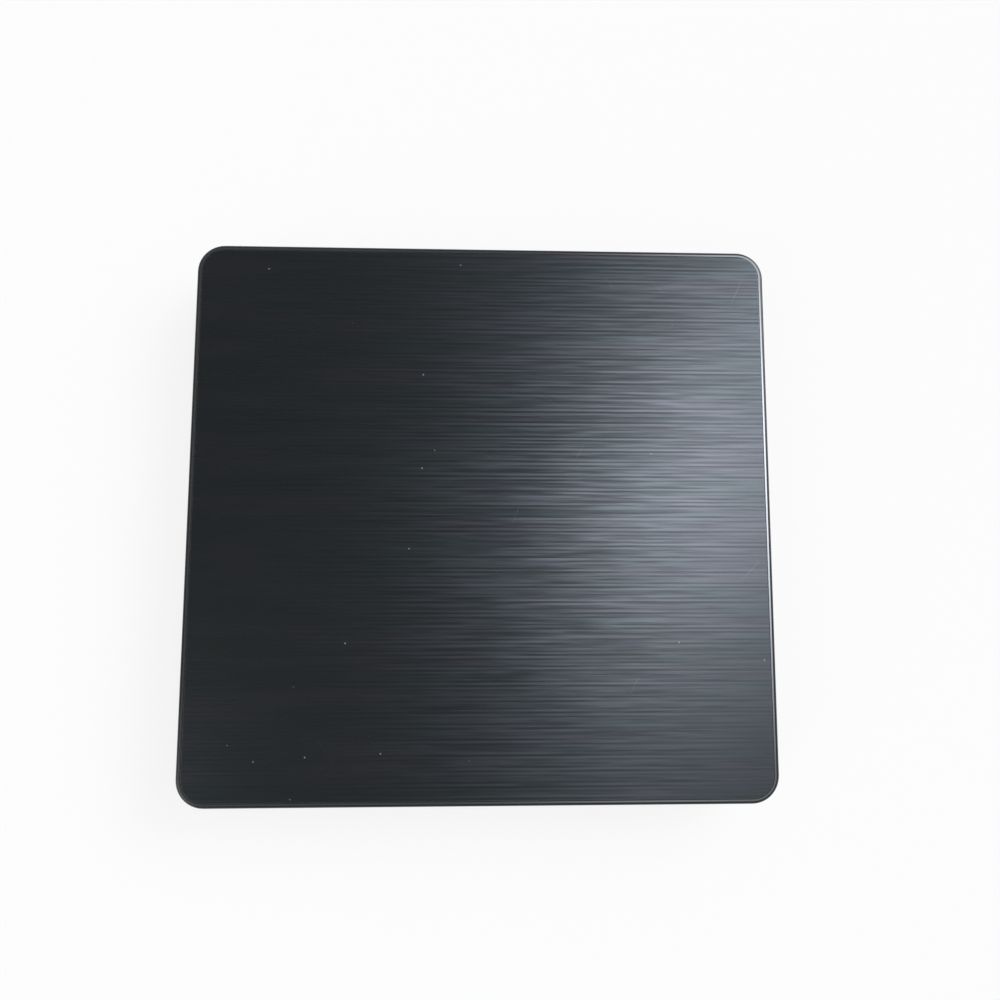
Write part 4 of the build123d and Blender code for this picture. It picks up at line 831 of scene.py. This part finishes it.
def sliding_ribbon():
    """Tray ribbon: a flat section carried along its route, in two runs that meet in its fold.

    A run's weight is 0 on the case, 1 on the tray and a half in the fold, which goes half as far
    The upper run rises all the way to the tray, so that it never lies on itself.
    """
    low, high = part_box("tray_ribbon")
    board_low, board_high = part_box("main_board")
    front = board_low.y
    thickness = 0.2 * MM
    inset = thickness / 2 + 0.02 * MM
    plug = board_high.z + 0.6 * MM
    drop = front - 4.5 * MM
    floor = low.z + inset
    fold = floor + 1.6 * MM
    back = low.y + inset
    clip = front - 6.0 * MM
    clip_end = clip + 5.0 * MM
    tray_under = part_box("tray_board")[1].z + 1.0 * MM
    top = tray_under - inset
    corners = [
        (front + 2.2 * MM, plug), (front - 2.0 * MM, plug), (drop, floor), (back, floor),
        (back, fold), (clip, top), (clip_end, top),
    ]
    bend = 0.8 * MM
    fold_bend = 0.78 * MM
    radii = [bend, bend, fold_bend, fold_bend, bend]
    route = evenly_filled(rounded_route(corners, radii), step=1.5 * MM)
    direction = unit_rows(np.gradient(route, axis=0))
    across = np.stack([-direction[:, 1], direction[:, 0]], axis=1) * thickness / 2
    x = np.array([low.x, high.x, high.x, low.x])
    side = np.array([-1.0, -1.0, 1.0, 1.0])
    y = route[:, None, 0] + side * across[:, None, 0]
    z = route[:, None, 1] + side * across[:, None, 1]
    rings = np.stack([np.broadcast_to(x, y.shape), y, z], axis=-1)
    fold_middle = (back, (floor + fold) / 2)
    seam = int(np.argmin(np.linalg.norm(route - fold_middle, axis=1)))
    runs = (
        ("ribbon_lower_run", rings[:seam + 1], drop, 2 * back - drop),
        ("ribbon_upper_run", rings[seam:], 2 * back - clip, clip),
    )
    for name, run, still, moving in runs:
        piece = shell(name, run, finishes["ribbon_film"])
        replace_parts(piece, "tray_ribbon")
        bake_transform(piece)


def socket_contacts():
    """Five contact strips on the socket's tongue: a rounded bar section carried along Y."""
    tongue_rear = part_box("usb_tongue")[1].y
    low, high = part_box("usb_shell")
    middle = (low.x + high.x) / 2
    height = (low.z + high.z) / 2 + 0.45 * MM
    count = 5
    pitch = 0.8 * MM
    width = 0.40 * MM
    proud = 0.06 * MM
    # Places along a strip, measured from the tongue's rear end, and how full its section is there
    along = np.array([-5.4, -5.2, -0.6, -0.25, -0.1])[:, None] * MM
    swell = np.array([0.2, 1.0, 1.0, 0.7, 0.1])[:, None]
    angle = full_turn(12)[None, :]
    for k in range(count):
        x = middle + (k - (count - 1) / 2) * pitch + width / 2 * np.cos(angle) * swell
        z = height + proud * np.sin(angle) * swell
        y = tongue_rear + along + 0 * z
        rings = np.stack([x, y, z], axis=-1)
        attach(shell(f"usb_contact_{k + 1}", rings, contact_gold), "case")


def ejector_coil():
    """Ejector's spring: round wire along a helix about Y, whose last turn closes up at each end."""
    low, high = (np.array(corner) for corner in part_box("ejector_spring"))
    centre = (low + high) / 2
    length = high[1] - low[1]
    wire = 0.2 * MM
    radius = (high[0] - low[0]) / 2 - wire
    half = length / 2 - wire
    closed = 0.47 * MM
    turns = 8
    steps_per_turn = 24
    turned = np.linspace(0, turns, steps_per_turn * turns + 1)
    rise = np.interp(turned, [0, 1, turns - 1, turns], [-half, closed - half, half - closed, half])
    angle = 2 * math.pi * turned
    outward = np.stack([np.cos(angle), 0 * angle, np.sin(angle)], axis=1)
    path = centre + radius * outward + rise[:, None] * np.array((0, 1.0, 0))
    side = np.cross(unit_rows(np.gradient(path, axis=0)), outward)
    around = full_turn(10)[None, :, None]
    section = np.cos(around) * outward[:, None] + np.sin(around) * side[:, None]
    rings = path[:, None] + wire * section
    piece = shell("ejector_coil", rings, finishes["spring_steel"])
    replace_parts(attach(piece, "case"), "ejector_spring")
    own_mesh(piece)


threaded_screw()
coil_winding()
ejector_coil()
sliding_ribbon()
socket_contacts()


def place_camera():
    """Camera at its place, looking at its target, turned a little about its view."""
    back = (camera_place - camera_target).normalized()
    right = Vector((0, 1, 0)).cross(back).normalized()
    facing = Matrix((right, back.cross(right), back)).transposed().to_4x4()
    turn = facing @ Matrix.Rotation(camera_roll, 4, "Z")
    data = bpy.data.cameras.new("camera")
    data.lens = camera_lens
    data.sensor_width = camera_sensor
    data.clip_start = 0.01
    data.clip_end = 20.0
    camera = put("camera", data)
    camera.matrix_world = Matrix.Translation(camera_place) @ turn
    bpy.context.scene.camera = camera


def towards(tilt, bearing):
    """The direction at a tilt from overhead and a bearing from +X, both in degrees."""
    tilt = math.radians(tilt)
    bearing = math.radians(bearing)
    level = math.sin(tilt)
    return Vector((level * math.cos(bearing), level * math.sin(bearing), math.cos(tilt)))


def place_lamp(name, tilt, bearing, distance, width, height, watts):
    """A soft rectangular lamp that faces the object from a tilt and a bearing."""
    out = towards(tilt, bearing)
    data = bpy.data.lights.new(name, "AREA")
    data.shape = "RECTANGLE"
    data.size = width
    data.size_y = height
    data.energy = watts
    across = Vector((0, 0, 1)).cross(out).normalized()
    down = out.cross(across)
    turn = Matrix((down, across, out)).transposed().to_4x4()
    put(name, data).matrix_world = Matrix.Translation(out * distance) @ turn


def shown_rays(tree):
    """1 for rays that show the surroundings: straight, in gloss and through glass."""
    rays = add(tree, "LightPath").outputs
    gloss = calc(tree, "MAXIMUM", rays["Is Glossy Ray"], rays["Is Transmission Ray"])
    return calc(tree, "MAXIMUM", rays["Is Camera Ray"], gloss)


def window_glow(tree, direction, tilt, bearing, lean, width, length, level):
    """A window's level times exp(-(u/width)^2 - (v/length)^2), u and v measured from its middle."""
    aim = towards(tilt, bearing)
    lean = math.radians(lean)
    side = Vector((math.sin(lean), math.cos(lean), 0)).cross(aim).normalized()
    along = aim.cross(side)
    total = 0.0
    for axis, reach in ((side, width), (along, length)):
        aside = dot(tree, direction, axis / reach)
        total = calc(tree, "ADD", times(tree, aside, aside), total)
    ahead = calc(tree, "GREATER_THAN", dot(tree, direction, aim), 0.0)
    glow = calc(tree, "EXPONENT", times(tree, total, -1.0))
    return times(tree, times(tree, glow, level), ahead)


def studio_world():
    """White walls and a darker ceiling where they show, and a plain even level for the rest."""
    world = bpy.data.worlds.new("studio")
    world.use_nodes = True
    tree = world.node_tree
    tree.nodes.clear()
    direction = add(tree, "TexCoord").outputs["Generated"]
    up = add(tree, "SeparateXYZ", {"Vector": direction}).outputs[2]
    heights = {"Value": up, "From Min": ceiling_start, "From Max": ceiling_full}
    levels = {"To Min": wall_level, "To Max": ceiling_level}
    room = add(tree, "MapRange", {**heights, **levels}, interpolation_type="SMOOTHSTEP")
    shown = shown_rays(tree)
    seen = times(tree, shown, room.outputs["Result"])
    rest = times(tree, calc(tree, "SUBTRACT", 1.0, shown), ambient_level)
    sky = add(tree, "Background", {"Color": white, "Strength": calc(tree, "ADD", seen, rest)})
    glow = 0.0
    for values in windows.values():
        glow = calc(tree, "ADD", window_glow(tree, direction, *values), glow)
    daylight = add(tree, "Background", {"Color": window_colour, "Strength": glow})
    both = add(tree, "AddShader", {0: sky.outputs[0], 1: daylight.outputs[0]})
    show(tree, both, "World")
    bpy.context.scene.world = world


def studio_floor():
    """A white floor with a soft shadow, no glow where it is covered, and clear from below."""
    half = floor_size / 2
    corners = [(-half, -half, 0), (half, -half, 0), (half, half, 0), (-half, half, 0)]
    mesh = bpy.data.meshes.new("floor")
    mesh.from_pydata(corners, [], [(0, 1, 2, 3)])
    material, tree = new_material("floor_paper")
    matt = add(tree, "BsdfDiffuse", {"Color": floor_colour})
    glow = add(tree, "Emission", {"Color": white, "Strength": 1.0})
    reach = {"Distance": floor_shade_reach}
    open_sky = add(tree, "AmbientOcclusion", reach, samples=8).outputs["AO"]
    uncovered = remap(tree, open_sky, *floor_shade_range)
    shown = times(tree, shown_rays(tree), floor_glow_share)
    share = times(tree, shown, uncovered)
    top = add(tree, "MixShader", {0: share, 1: matt.outputs[0], 2: glow.outputs[0]})
    clear = add(tree, "BsdfTransparent")
    below = add(tree, "NewGeometry").outputs["Backfacing"]
    show(tree, add(tree, "MixShader", {0: below, 1: top.outputs[0], 2: clear.outputs[0]}))
    mesh.materials.append(material)
    put("floor", mesh)


place_camera()
for name, values in lamps.items():
    place_lamp(name, *values)
studio_world()
studio_floor()
bpy.context.scene.view_settings.view_transform = "Standard"
